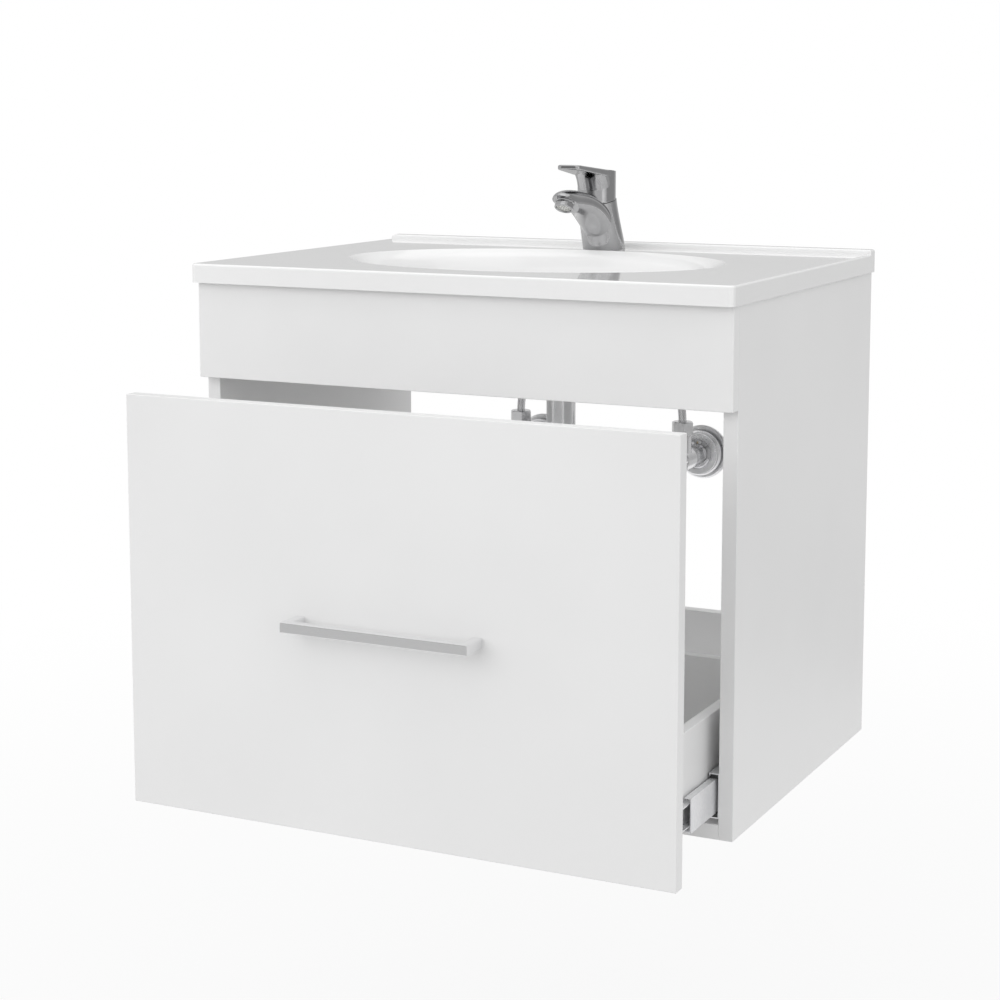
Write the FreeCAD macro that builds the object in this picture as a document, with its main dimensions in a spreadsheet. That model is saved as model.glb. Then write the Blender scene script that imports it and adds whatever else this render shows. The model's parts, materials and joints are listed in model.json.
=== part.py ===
import FreeCAD, Part
import math
import os
import Sketcher

# Wall-hung bathroom vanity: a white board cabinet with a fixed top panel and one deep drawer, a one-piece
# sink top with an oval bowl, a single-lever tap, a drain with bottle trap and two angle valves.
# Millimetres. X to the right, Y towards the wall (the wall is Y = 0), Z up. The origin is the centre of the
# four wall screws. The drawer is drawn pulled out by drawer_open.

V = FreeCAD.Vector
os.makedirs("parts", exist_ok=True)
doc = FreeCAD.newDocument("vanity_unit")

SIZES = {
    # sink top
    "sink_overhang": 3,
    "sink_front": 10,
    "sink_skirt": 20,
    "sink_deck": 10,
    "skirt_wall": 14,
    "sink_edge_round": 2.5,
    "sink_corner_round": 6,
    "lip_height": 5,
    "lip_depth": 14,
    "bowl_width": 420,
    "bowl_length": 312,
    "bowl_back": 87,
    "bowl_depth": 105,
    "bowl_wall": 9,
    "bowl_clear": 12,
    "drain_from_wall": 173,
    "drain_hole": 46,
    "faucet_from_wall": 57,
    "faucet_hole": 34,
    # cabinet
    "cab_width": 594,
    "cab_height": 520,
    "board": 15,
    "edge_round": 0.8,
    "top_front_height": 100,
    "front_gap": 2,
    "front_drop": 2,
    "top_rail_height": 100,
    "back_rail_height": 120,
    "front_rail_depth": 45,
    "wall_screw_span": 400,
    "wall_screw_hole": 8,
    # drawer
    "drawer_open": 131,
    "drawer_over": 2,
    "drawer_side_height": 92,
    "drawer_up": 29,
    "drawer_board": 12,
    "drawer_bottom": 3,
    "groove_depth": 6,
    "groove_up": 8,
    "handle_length": 202,
    "handle_bar": 10,
    "handle_reach": 32,
    # drawer slides
    "slide_length": 350,
    "slide_height": 45,
    "slide_space": 12.7,
    "slide_up": 43,
    "slide_setback": 2,
    "slide_room": 68,
    "slide_sheet": 1.2,
    "ball": 4,
    "ball_play": 0.15,
    "cage_length": 150,
    # tap
    "faucet_base": 48.5,
    "faucet_lean": 22,
    "housing_width": 43,
    "seat_height": 56,
    "seat_shift": 2,
    "ball_radius": 27,
    "lever_reach": 101,
    "lever_rear_height": 87,
    "lever_tip_height": 98,
    "lever_thick": 5.5,
    "spout_reach": 107,
    "spout_height": 57,
    "spout_end": 27.6,
    "aerator": 21,
    # drain, trap and water supply
    "tube": 32,
    "tube_wall": 1.2,
    "union": 42,
    "bottle": 60,
    "outlet_clear": 4,
    "cup_height": 50,
    "cup_overlap": 16,
    "trap_drop": 270,
    "valve_span": 202,
    "valve_drop": 235,
    "valve_reach": 65,
    "valve_flange": 62,
    "hose": 9,
    # fits
    "fit": 0.05,
    "slip": 0.3,
}


class Dim:
    """A length that carries its formula in the sheet together with its present value."""

    def __init__(self, text, value):
        self.text = text
        self.value = float(value)

    def __float__(self):
        return self.value

    def __add__(self, other):
        other = dim(other)
        return Dim(f"({self.text} + {other.text})", self.value + other.value)

    def __sub__(self, other):
        other = dim(other)
        return Dim(f"({self.text} - {other.text})", self.value - other.value)

    def __mul__(self, other):
        other = dim(other)
        return Dim(f"({self.text} * {other.text})", self.value * other.value)

    def __truediv__(self, other):
        other = dim(other)
        return Dim(f"({self.text} / {other.text})", self.value / other.value)

    def __neg__(self):
        return Dim(f"(-{self.text})", -self.value)

    def __radd__(self, other):
        return dim(other) + self

    def __rsub__(self, other):
        return dim(other) - self

    def __rmul__(self, other):
        return dim(other) * self


def dim(value):
    return value if isinstance(value, Dim) else Dim(f"({float(value):.6f})", value)


def most(first, second):
    """The longer of two lengths."""
    return Dim(f"max({first.text}; {second.text})", max(first.value, second.value))


def root(value):
    return Dim(f"sqrt({value.text})", math.sqrt(value.value))


sheet = doc.addObject("Spreadsheet::Sheet", "Sizes")
for row, (alias, number) in enumerate(SIZES.items(), 1):
    sheet.set(f"A{row}", alias)
    sheet.set(f"B{row}", str(number))
    sheet.setAlias(f"B{row}", alias)
doc.recompute()


class Sheet:
    """Gives each size of the sheet by its alias."""

    def __getattr__(self, alias):
        return Dim(f"Sizes.{alias}", sheet.get(alias))


S = Sheet()
layout = doc.addObject("Spreadsheet::Sheet", "Layout")
layout_rows = []


def lay(alias, formula):
    """Keeps a worked-out place in the second sheet and gives it back under its name."""
    layout_rows.append(alias)
    row = len(layout_rows)
    layout.set(f"A{row}", alias)
    layout.set(f"B{row}", "=" + formula.text)
    layout.setAlias(f"B{row}", alias)
    return Dim(f"Layout.{alias}", formula.value)


z_bottom = lay("z_bottom", (S.top_rail_height / 2 - S.back_rail_height / 2 - S.cab_height) / 2)
z_cab = lay("z_cab", z_bottom + S.cab_height)
z_top = lay("z_top", z_cab + S.sink_skirt)
slide_need = lay("slide_need", S.slide_setback + S.slide_length + S.slide_room)
bowl_need = lay("bowl_need", S.bowl_back + S.bowl_length + S.bowl_wall + S.bowl_clear)
side_depth = lay("side_depth", most(slide_need, bowl_need))
sink_depth = lay("sink_depth", side_depth + S.board + S.sink_front)
drawer_length = lay("drawer_length", S.slide_length + S.drawer_over)
y_edge = lay("y_edge", -side_depth)
x_in = lay("x_in", S.cab_width / 2 - S.board)
sink_width = lay("sink_width", S.cab_width + 2 * S.sink_overhang)
y_pulled = lay("y_pulled", y_edge - S.drawer_open)
x_drawer = lay("x_drawer", x_in - S.slide_space)
z_drawer = lay("z_drawer", z_bottom + S.drawer_up)
z_slide = lay("z_slide", z_bottom + S.slide_up)
z_front_top = lay("z_front_top", z_cab - S.top_front_height - S.front_gap)
z_front_low = lay("z_front_low", z_bottom - S.front_drop)
y_rail = lay("y_rail", y_edge + S.slide_setback + S.slide_length)
z_floor = lay("z_floor", z_top - S.bowl_depth)
y_drain = lay("y_drain", -S.drain_from_wall)
y_tap = lay("y_tap", -S.faucet_from_wall)
z_pivot = lay("z_pivot", S.seat_height + root(S.ball_radius * S.ball_radius - S.seat_shift * S.seat_shift
                                             - S.housing_width * S.housing_width / 4))
z_valve = lay("z_valve", z_top - S.valve_drop)
z_outlet = lay("z_outlet", z_top - S.trap_drop)
doc.recompute()

NODES = {}

TURNS = {
    "z": FreeCAD.Rotation(),
    "-z": FreeCAD.Rotation(V(1, 0, 0), 180),
    "y": FreeCAD.Rotation(V(1, 0, 0), -90),
    "-y": FreeCAD.Rotation(V(1, 0, 0), 90),
    "x": FreeCAD.Rotation(V(0, 1, 0), 90),
    "-x": FreeCAD.Rotation(V(0, 1, 0), -90),
}
SIDES = ((-1, "left"), (1, "right"))


def bind(obj, **sizes):
    for prop, value in sizes.items():
        obj.setExpression(prop, dim(value).text)
    return obj


def place(obj, x=0, y=0, z=0, turn="z"):
    rotation = TURNS[turn] if isinstance(turn, str) else turn
    obj.Placement = FreeCAD.Placement(V(float(x), float(y), float(z)), rotation)
    for axis, value in (("x", x), ("y", y), ("z", z)):
        if isinstance(value, Dim):
            obj.setExpression(f"Placement.Base.{axis}", value.text)
    return obj


def box(name, x, y, z, dx, dy, dz):
    solid = doc.addObject("Part::Box", name)
    bind(solid, Length=dx, Width=dy, Height=dz)
    return place(solid, x, y, z)


def rod(name, radius, length, x, y, z, turn="z"):
    solid = doc.addObject("Part::Cylinder", name)
    bind(solid, Radius=radius, Height=length)
    return place(solid, x, y, z, turn)


def drill(name, radius, depth, x, y, z, turn):
    """A hole tool that starts 1 mm outside the face it enters."""
    step = TURNS[turn].multVec(V(0, 0, 1))
    return rod(name, radius, depth + 1, x - step.x, y - step.y, z - step.z, turn)


def compound(name, members):
    group = doc.addObject("Part::Compound", name)
    group.Links = members
    return group


def cut(name, base, tools):
    result = doc.addObject("Part::Cut", name)
    result.Base = base
    result.Tool = tools[0] if len(tools) == 1 else compound(name + "_tools", tools)
    return result


def fuse(name, members):
    result = doc.addObject("Part::MultiFuse", name)
    result.Shapes = members
    return result


def common(name, first, second):
    result = doc.addObject("Part::MultiCommon", name)
    result.Shapes = [first, second]
    return result


def rounded(name, base, radius, pick=None):
    """Rounds the edges of a Part object that pick chooses, all of them by default."""
    doc.recompute()
    result = doc.addObject("Part::Fillet", name)
    result.Base = base
    chosen = [i for i, edge in enumerate(base.Shape.Edges, 1) if pick is None or pick(edge)]
    result.Edges = [(i, float(radius), float(radius)) for i in chosen]
    return result


def panel(name, x, y, z, dx, dy, dz):
    """A board with lightly rounded edges."""
    return rounded(name + "_board", box(name + "_blank", x, y, z, dx, dy, dz), S.edge_round)


def origin_plane(body, role):
    return next(part for part in body.Origin.OriginFeatures if part.Role == role)


def new_sketch(body, plane, name):
    sketch = body.newObject("Sketcher::SketchObject", name)
    sketch.AttachmentSupport = [(origin_plane(body, plane), "")]
    sketch.MapMode = "FlatFace"
    return sketch


def fix_point(sketch, index, point, x, y):
    """Ties one point of the sketch to the sheet in both directions."""
    for kind, value, axis in (("DistanceX", x, -2), ("DistanceY", y, -1)):
        if float(value) == 0:
            sketch.addConstraint(Sketcher.Constraint("PointOnObject", index, point, axis))
            continue
        number = sketch.addConstraint(Sketcher.Constraint(kind, -1, 1, index, point, float(value)))
        if isinstance(value, Dim):
            sketch.setExpression(f"Constraints[{number}]", value.text)


def polygon(body, plane, points, name):
    sketch = new_sketch(body, plane, name)
    count = len(points)
    for i in range(count):
        (x1, y1), (x2, y2) = points[i], points[(i + 1) % count]
        line = Part.LineSegment(V(float(x1), float(y1), 0), V(float(x2), float(y2), 0))
        sketch.addGeometry(line, False)
    for i in range(count):
        sketch.addConstraint(Sketcher.Constraint("Coincident", i, 2, (i + 1) % count, 1))
    for i, (x, y) in enumerate(points):
        fix_point(sketch, i, 1, x, y)
    return sketch


def circle(body, plane, x, y, radius, name):
    sketch = new_sketch(body, plane, name)
    sketch.addGeometry(Part.Circle(V(float(x), float(y), 0), V(0, 0, 1), float(radius)), False)
    fix_point(sketch, 0, 3, x, y)
    number = sketch.addConstraint(Sketcher.Constraint("Radius", 0, float(radius)))
    sketch.setExpression(f"Constraints[{number}]", dim(radius).text)
    return sketch


def turned(name, points):
    """A body turned about its own Z axis from an outline of radius and height."""
    body = doc.addObject("PartDesign::Body", name)
    sketch = polygon(body, "XZ_Plane", points, name + "_outline")
    feature = body.newObject("PartDesign::Revolution", name + "_turn")
    feature.Profile = sketch
    feature.ReferenceAxis = (sketch, ["V_Axis"])
    feature.Angle = 360
    return body


def padded(name, plane, points, length, middle=False):
    """A body made by pulling an outline along the normal of its plane."""
    body = doc.addObject("PartDesign::Body", name)
    sketch = polygon(body, plane, points, name + "_outline")
    feature = body.newObject("PartDesign::Pad", name + "_pad")
    feature.Profile = sketch
    feature.Midplane = middle
    bind(feature, Length=length)
    return body


def pocketed(body, sketch, length, name):
    feature = body.newObject("PartDesign::Pocket", name)
    feature.Profile = sketch
    feature.Midplane = True
    bind(feature, Length=length)
    return feature


def eased(body, radius, pick, name):
    """Rounds the edges of a body that pick chooses."""
    doc.recompute()
    base = body.Tip
    chosen = [f"Edge{i}" for i, edge in enumerate(base.Shape.Edges, 1) if pick(edge)]
    feature = body.newObject("PartDesign::Fillet", name)
    feature.Base = (base, chosen)
    bind(feature, Radius=radius)
    return feature


def copies(label, template, places):
    """One node of equal pieces: links to the template at each place."""
    links = []
    for i, (x, y, z, turn) in enumerate(places, 1):
        link = doc.addObject("App::Link", f"{label}_{i}")
        link.LinkedObject = template
        links.append(place(link, x, y, z, turn))
    return node(label, compound(label + "_set", links))


def node(label, obj):
    obj.Label = label
    NODES[label] = obj
    return obj


def ring(name, half_width, half_height, x, y, z, tilt=0.0):
    """An oval cross-section; tilt turns its plane about X."""
    oval = doc.addObject("Part::Ellipse", name)
    bind(oval, MajorRadius=half_width, MinorRadius=half_height)
    return place(oval, x, y, z, FreeCAD.Rotation(V(1, 0, 0), tilt))


def loft(name, sections):
    solid = doc.addObject("Part::Loft", name)
    solid.Sections = sections
    solid.Solid = True
    solid.Ruled = False
    return solid


def along(edge, axis):
    """True for a straight edge along X, Y or Z."""
    span = edge.BoundBox
    lengths = {"x": span.XLength, "y": span.YLength, "z": span.ZLength}
    return lengths.pop(axis) > 1e-6 and max(lengths.values()) < 1e-6


# Fasteners: one template of each kind, copied where needed.
SCREW_HEAD = 1.5
SCREW_LENGTH = 12
SCREW_RADIUS = 1.75
RECESS_DEPTH = 1.6
RECESS_SLOT = 1.0


def crossed(name, blank, z_head, width):
    """A turned screw with a cross recess sunk into the flat of its head."""
    half_slot = RECESS_SLOT / 2
    wide = box(name + "_slot_x", -width / 2, -half_slot, z_head - 1, width, RECESS_SLOT, RECESS_DEPTH + 1)
    deep = box(name + "_slot_y", -half_slot, -width / 2, z_head - 1, RECESS_SLOT, width, RECESS_DEPTH + 1)
    return cut(name, blank, [fuse(name + "_cross", [wide, deep])])


screw_blank = turned("wood_screw_blank", [
    (0, -SCREW_HEAD), (2.6, -SCREW_HEAD), (3.5, -0.6), (3.5, 0),
    (SCREW_RADIUS, 0), (SCREW_RADIUS, SCREW_LENGTH - 3), (0, SCREW_LENGTH)])
screw = crossed("wood_screw", screw_blank, -SCREW_HEAD, 3.6)

CAM_IN = 24
CAM_DEPTH = 12.5
CAM_RADIUS = 7.5
BOLT_IN_SIDE = 11
cam_bolt = turned("cam_bolt", [
    (0, -BOLT_IN_SIDE), (2.5, -BOLT_IN_SIDE), (2.5, 0), (3, 0), (3, CAM_IN - 7),
    (1.75, CAM_IN - 7), (1.75, CAM_IN - 2.5), (3, CAM_IN - 2.5), (3, CAM_IN + 0.5), (0, CAM_IN + 0.5)])
cam_blank = rod("cam_blank", CAM_RADIUS, CAM_DEPTH, 0, 0, 0)
cam_slot = rod("cam_slot", 3.5, 12, -2, 0, S.board / 2, "x")
cam_cross = box("cam_cross", -4, -0.8, -1, 8, 1.6, 3)
cam = cut("cam_lock", cam_blank, [cam_slot, cam_cross])

DOWEL_RADIUS = 4
DOWEL_LENGTH = 30
dowel = turned("dowel", [
    (0, 0), (DOWEL_RADIUS - 1, 0), (DOWEL_RADIUS, 1), (DOWEL_RADIUS, DOWEL_LENGTH - 1),
    (DOWEL_RADIUS - 1, DOWEL_LENGTH), (0, DOWEL_LENGTH)])

# Where each rail meets the sides: the face height of the cam, and the dowels beside it.
z_top_rail = z_cab - S.top_rail_height / 2
z_back_rail = z_bottom + S.back_rail_height / 2
y_half = -S.board / 2
z_half = z_bottom + S.board / 2
y_front_cam = y_edge + 16
y_front_dowel = y_edge + 34
JOINTS = (
    # bolt y, bolt z, dowel places
    (y_half, z_top_rail, ((y_half, z_top_rail - 30), (y_half, z_top_rail + 30))),
    (y_half, z_back_rail, ((y_half, z_back_rail - 38), (y_half, z_back_rail + 38))),
    (y_front_cam, z_half, ((y_front_dowel, z_half),)),
)

BRACKET_LEG = 30
BRACKET_WIDTH = 16
BRACKET_SHEET = 1.5
BRACKET_HOLE_AT = 20


def bracket(name, side, x_face, y_face, z):
    """A steel angle in the corner of a board (at x_face) and a front (at y_face), with its two screws."""
    inward = -side
    x_low = side * x_face - (BRACKET_LEG if side > 0 else 0)
    thin_x = side * x_face - (BRACKET_SHEET if side > 0 else 0)
    leg_a = box(name + "_a", thin_x, y_face, z - BRACKET_WIDTH / 2, BRACKET_SHEET, BRACKET_LEG, BRACKET_WIDTH)
    leg_b = box(name + "_b", x_low, y_face, z - BRACKET_WIDTH / 2, BRACKET_LEG, BRACKET_SHEET, BRACKET_WIDTH)
    angle = fuse(name + "_angle", [leg_a, leg_b])
    x_hole = side * x_face + inward * BRACKET_HOLE_AT
    y_hole = y_face + BRACKET_HOLE_AT
    outward = "x" if side > 0 else "-x"
    hole_a = rod(name + "_ha", 2, 4, side * x_face + inward * 3, y_hole, z, outward)
    hole_b = rod(name + "_hb", 2, 4, x_hole, y_face + 3, z, "-y")
    solid = cut(name, angle, [hole_a, hole_b])
    screws = (
        (side * x_face + inward * BRACKET_SHEET, y_hole, z, outward),
        (x_hole, y_face + BRACKET_SHEET, z, "-y"),
    )
    return solid, screws


def screw_hole(name, spot):
    """The pilot hole of a screw through sheet of bracket or rail thickness."""
    x, y, z, turn = spot
    return rod(name, SCREW_RADIUS + S.fit, SCREW_LENGTH + 0.5, x, y, z, turn)


# Drawer slides: the distance from the cabinet board counts inwards, heights from the slide's middle.
U_OUTER_DEPTH = 10.5
U_LIP = 3
U_MIDDLE = 3.2
U_MIDDLE_DEPTH = 10
U_INNER_DEPTH = 5.6
U_OUTER_BALL = 6.25
U_INNER_BALL = 7.7
CAGE_WIDTH = 5.2
CAGE_SHEET = 1.2
BALLS_PER_RACE = 3
half_outer = lay("half_outer", S.slide_height / 2)
half_middle = lay("half_middle", half_outer - S.slide_sheet - S.ball - 2 * S.ball_play)
half_inner = lay("half_inner", half_middle - S.slide_sheet - S.ball - 2 * S.ball_play)
race_outer = lay("race_outer", (half_outer - S.slide_sheet + half_middle) / 2)
race_inner = lay("race_inner", (half_middle - S.slide_sheet + half_inner) / 2)
travel_middle = S.drawer_open / 2
travel_outer_cage = S.drawer_open / 4
travel_inner_cage = S.drawer_open * 0.75
y_slide_mid = lay("y_slide_mid", y_rail - S.slide_length / 2)
doc.recompute()


def channel(near, far, half, lip):
    """Outline of a C section from its web at near to its flange ends at far, as (u, height) pairs."""
    sheet_in = S.slide_sheet if float(far) > float(near) else -S.slide_sheet
    inner = half - S.slide_sheet
    upper = [(near, half), (far, half)]
    if lip:
        upper += [(far, half - lip), (far - sheet_in, half - lip), (far - sheet_in, inner)]
    else:
        upper += [(far, inner)]
    upper += [(near + sheet_in, inner)]
    return upper + [(u, -v) for u, v in reversed(upper)]


RAILS = {
    "outer_rails": (channel(dim(0), dim(U_OUTER_DEPTH), half_outer, U_LIP), dim(0)),
    "middle_rails": (channel(dim(U_MIDDLE), dim(U_MIDDLE_DEPTH), half_middle, 0), travel_middle),
    "inner_rails": (channel(S.slide_space, dim(U_INNER_DEPTH), half_inner, 0), S.drawer_open),
}
SCREW_INSET = 25
SCREW_SPOTS = (dim(SCREW_INSET), S.slide_length / 2 - SCREW_INSET / 2, S.slide_length - SCREW_INSET)
rail_screws = {"outer_rails": [], "inner_rails": []}
for label, (outline, shift) in RAILS.items():
    pair = []
    for side, word in SIDES:
        points = [(side * (x_in - u), v) for u, v in outline]
        rail = padded(f"{label}_{word}", "XZ_Plane", points, S.slide_length)
        place(rail, 0, y_rail - shift, z_slide)
        holes = []
        for i, back in enumerate(SCREW_SPOTS):
            y = y_rail - shift - back
            if label == "outer_rails":
                spot = (side * (x_in - S.slide_sheet), y, z_slide, "x" if side > 0 else "-x")
            elif label == "inner_rails":
                spot = (side * (x_drawer + S.slide_sheet), y, z_slide, "-x" if side > 0 else "x")
            else:
                continue
            rail_screws[label].append((side, spot))
            holes.append(rod(f"{label}_{word}_hole{i}", 2, 4, spot[0] - 0.5 * side, y, z_slide, spot[3])
                         if label == "outer_rails" else
                         rod(f"{label}_{word}_hole{i}", 2, 4, spot[0] + 0.5 * side, y, z_slide, spot[3]))
        pair.append(cut(f"{label}_{word}_drilled", rail, holes) if holes else rail)
    node(label, compound(label + "_pair", pair))

ball = doc.addObject("Part::Sphere", "slide_ball")
bind(ball, Radius=S.ball / 2)
for label, u, race, shift in (("outer", U_OUTER_BALL, race_outer, travel_outer_cage),
                              ("inner", U_INNER_BALL, race_inner, travel_inner_cage)):
    ball_places = []
    strips = []
    y_mid = y_slide_mid - shift
    for side, word in SIDES:
        for level in (-1, 1):
            name = f"{label}_cage_{word}_{'low' if level < 0 else 'high'}"
            x = side * (x_in - u)
            z = z_slide + level * race
            strip = box(name + "_strip", x - CAGE_WIDTH / 2, y_mid - S.cage_length / 2, z - CAGE_SHEET / 2,
                        CAGE_WIDTH, S.cage_length, CAGE_SHEET)
            pockets = []
            for i in range(BALLS_PER_RACE):
                y = y_mid + (i - (BALLS_PER_RACE - 1) / 2) * S.cage_length * 0.38
                ball_places.append((x, y, z, "z"))
                pockets.append(rod(f"{name}_hole{i}", S.ball / 2 + 0.1, 4, x, y, z - 2))
            strips.append(cut(name, strip, pockets))
    node(f"{label}_ball_cages", compound(f"{label}_ball_cages_set", strips))
    copies(f"{label}_balls", ball, ball_places)

STOP_LENGTH = 8
stops = []
for side, word in SIDES:
    for level in (-1, 1):
        thick = half_outer - S.slide_sheet - half_middle - S.slip - 0.1
        z_low = half_middle + S.slip if level > 0 else -(half_outer - S.slide_sheet - 0.1)
        x_low = side * x_in - (9.2 if side > 0 else -1.3)
        stops.append(box(f"stop_{word}_{level + 1}", x_low, y_rail - S.slide_length, z_slide + z_low,
                         7.9, STOP_LENGTH, thick))
node("rail_stops", compound("rail_stops_set", stops))

# Cabinet boards.
z_bracket = (z_cab - 22, z_cab - S.top_front_height + 22)
brackets = []
bracket_screws = []
for side, word in SIDES:
    for i, z in enumerate(z_bracket):
        solid, spots = bracket(f"front_bracket_{word}{i}", side, x_in, y_edge, z)
        brackets.append(solid)
        bracket_screws += [(side, spot) for spot in spots]
node("front_brackets", compound("front_brackets_set", brackets))
cabinet_screws = [spot for _, spot in bracket_screws + rail_screws["outer_rails"]]
copies("cabinet_screws", screw, cabinet_screws)

for side, word in SIDES:
    outward = "x" if side > 0 else "-x"
    x_low = x_in if side > 0 else -x_in - S.board
    board = panel(f"side_{word}", x_low, y_edge, z_bottom, S.board, side_depth, S.cab_height)
    tools = []
    for i, (y, z, pegs) in enumerate(JOINTS):
        tools.append(drill(f"side_{word}_bolt{i}", 2.5 + S.fit, BOLT_IN_SIDE + 0.5,
                           side * x_in, y, z, outward))
        for j, (py, pz) in enumerate(pegs):
            tools.append(drill(f"side_{word}_peg{i}{j}", DOWEL_RADIUS + S.fit, 11.2,
                               side * x_in, py, pz, outward))
    into_side = [spot for at, spot in bracket_screws + rail_screws["outer_rails"]
                 if at == side and spot[3] == outward]
    tools += [screw_hole(f"side_{word}_screw{i}", spot) for i, spot in enumerate(into_side)]
    node(f"side_panel_{word}", cut(f"side_{word}_drilled", board, tools))

into_front = [spot for _, spot in bracket_screws if spot[3] == "-y"]
front = panel("top_front", -S.cab_width / 2, y_edge - S.board, z_cab - S.top_front_height,
              S.cab_width, S.board, S.top_front_height)
node("top_front_panel", cut("top_front_drilled", front,
                            [screw_hole(f"top_front_screw{i}", spot) for i, spot in enumerate(into_front)]))

cam_places = []
bolt_places = []
dowel_places = []
rail_blanks = (
    ("top_back_rail", -S.board, z_cab - S.top_rail_height, S.board, S.top_rail_height),
    ("bottom_back_rail", -S.board, z_bottom, S.board, S.back_rail_height),
    ("bottom_front_rail", y_edge, z_bottom, S.front_rail_depth, S.board),
)
for (label, y, z, dy, dz), (by, bz, pegs) in zip(rail_blanks, JOINTS):
    board = panel(label, -x_in, y, z, 2 * x_in, dy, dz)
    flat = label == "bottom_front_rail"
    tools = []
    for side, word in SIDES:
        inward = "-x" if side > 0 else "x"
        cam_x = side * (x_in - CAM_IN)
        slot_turn = 0 if side > 0 else 180
        if flat:
            cam_turn = FreeCAD.Rotation(V(0, 0, 1), slot_turn)
            cam_at = (cam_x, by, z_bottom, cam_turn)
            hole = drill(f"{label}_{word}_cam", CAM_RADIUS + S.fit, CAM_DEPTH, cam_x, by, z_bottom, "z")
        else:
            cam_turn = FreeCAD.Rotation(V(1, 0, 0), -90) * FreeCAD.Rotation(V(0, 0, 1), slot_turn)
            cam_at = (cam_x, -S.board, bz, cam_turn)
            hole = drill(f"{label}_{word}_cam", CAM_RADIUS + S.fit, CAM_DEPTH, cam_x, -S.board, bz, "y")
        cam_places.append(cam_at)
        bolt_places.append((side * x_in, by, bz, inward))
        tools.append(hole)
        tools.append(drill(f"{label}_{word}_bolt", 3.5, CAM_IN, side * x_in, by, bz, inward))
        for j, (py, pz) in enumerate(pegs):
            dowel_places.append((side * (x_in + 11), py, pz, inward))
            tools.append(drill(f"{label}_{word}_peg{j}", DOWEL_RADIUS + S.fit, DOWEL_LENGTH - 10.8,
                               side * x_in, py, pz, inward))
        if not flat:
            tools.append(drill(f"{label}_{word}_wall", S.wall_screw_hole / 2, S.board + 2,
                               side * S.wall_screw_span / 2, -S.board, bz, "y"))
    merged = fuse(label + "_holes", tools)
    node(label, cut(label + "_drilled", board, [merged]))
copies("cam_locks", cam, cam_places)
copies("cam_bolts", cam_bolt, bolt_places)
copies("wood_dowels", dowel, dowel_places)

# Sink top: an outline of deck, skirt and rear lip pulled across, a shallow underside, and the lofted bowl.
slab = padded("sink_slab", "YZ_Plane", [
    (-sink_depth, -S.sink_skirt), (dim(0), -S.sink_skirt), (dim(0), S.lip_height),
    (-S.lip_depth, S.lip_height), (-S.lip_depth, dim(0)), (-sink_depth, dim(0))], sink_width, True)
eased(slab, S.sink_corner_round, lambda e: along(e, "z") and e.CenterOfMass.y < -float(sink_depth) + 1,
      "sink_corners")


def upper_edge(edge):
    """The front and side edges of the deck and the edges of the lip, not the inner corner at its foot."""
    middle = edge.CenterOfMass
    at_foot = abs(middle.y + float(S.lip_depth)) < 0.01 and abs(middle.z) < 0.01
    at_wall = abs(middle.y) < 0.01
    return edge.BoundBox.ZLength < 0.01 and middle.z > -1 and not at_foot and not at_wall


eased(slab, S.sink_edge_round, upper_edge, "sink_edges")
place(slab, 0, 0, z_top)
under = box("sink_under", -sink_width / 2 + S.skirt_wall, -sink_depth + S.skirt_wall,
            z_top - S.sink_skirt - 1, sink_width - 2 * S.skirt_wall,
            sink_depth - 2 * S.skirt_wall, S.sink_skirt - S.sink_deck + 1)
hollow_slab = cut("sink_hollow", slab, [under])

# Bowl sections from the rim down: depth, size and backward shift as shares of the whole.
BOWL = (
    (-0.02, 1.016, 0.0),
    (0.0, 1.0, 0.0),
    (0.04, 0.958, 0.01),
    (0.13, 0.912, 0.05),
    (0.32, 0.845, 0.18),
    (0.60, 0.72, 0.42),
    (0.84, 0.53, 0.70),
    (0.965, 0.33, 0.93),
    (1.0, 0.22, 1.0),
)
y_bowl = -S.bowl_back - S.bowl_length / 2
inner_rings = []
outer_rings = []
for i, (deep, size, shift) in enumerate(BOWL):
    y = y_bowl + shift * (y_drain - y_bowl)
    z = z_top - deep * S.bowl_depth
    inner_rings.append(ring(f"bowl_in{i}", size * S.bowl_width / 2, size * S.bowl_length / 2, 0, y, z))
    if deep >= 0.04:
        outer_rings.append(ring(f"bowl_out{i}", size * S.bowl_width / 2 + S.bowl_wall,
                                size * S.bowl_length / 2 + S.bowl_wall, 0, y, z - S.bowl_wall * deep))
bowl_in = loft("bowl_inside", inner_rings)
bowl_out = loft("bowl_outside", outer_rings)
sink_body = fuse("sink_body", [hollow_slab, bowl_out])
sink_holes = [
    rod("sink_drain_hole", S.drain_hole / 2, 40, 0, y_drain, z_floor - 30),
    rod("sink_tap_hole", S.faucet_hole / 2, 40, 0, y_tap, z_top - 30),
]
sink_bowl = cut("sink_bowl", sink_body, [bowl_in])
node("sink_top", cut("sink_pierced", sink_bowl, sink_holes))

# Drain: heights count from the bowl floor.
r_tube = S.tube / 2
r_bore = r_tube - S.tube_wall
r_union = S.union / 2
r_drain = S.drain_hole / 2 - 0.5
floor = S.bowl_wall
gasket = 3
nut_height = 10
drain_end = floor + gasket + nut_height + 20
drain_body = turned("drain_body_turned", [
    (r_tube - 1, -drain_end), (r_union, -drain_end), (r_union, -drain_end + 18), (r_drain, -drain_end + 18),
    (r_drain, 0.2), (r_drain + 9, 0.2), (r_drain + 9, 1.4), (r_drain + 6, 2.6), (r_drain - 3, 2.6),
    (r_drain - 4, 0), (r_drain - 4, -14), (r_tube - 1, -18)])
place(drain_body, 0, y_drain, z_floor)
GUIDE_RADIUS = 4
GUIDE_HEIGHT = 14
GUIDE_END = 2.7
STEM_END = 16
guide_low = z_floor - STEM_END - S.slip - GUIDE_END
guide_bar = box("drain_guide_bar", -r_drain + 3.5, y_drain - 1.5, guide_low, 2 * r_drain - 7, 3, GUIDE_HEIGHT)
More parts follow.
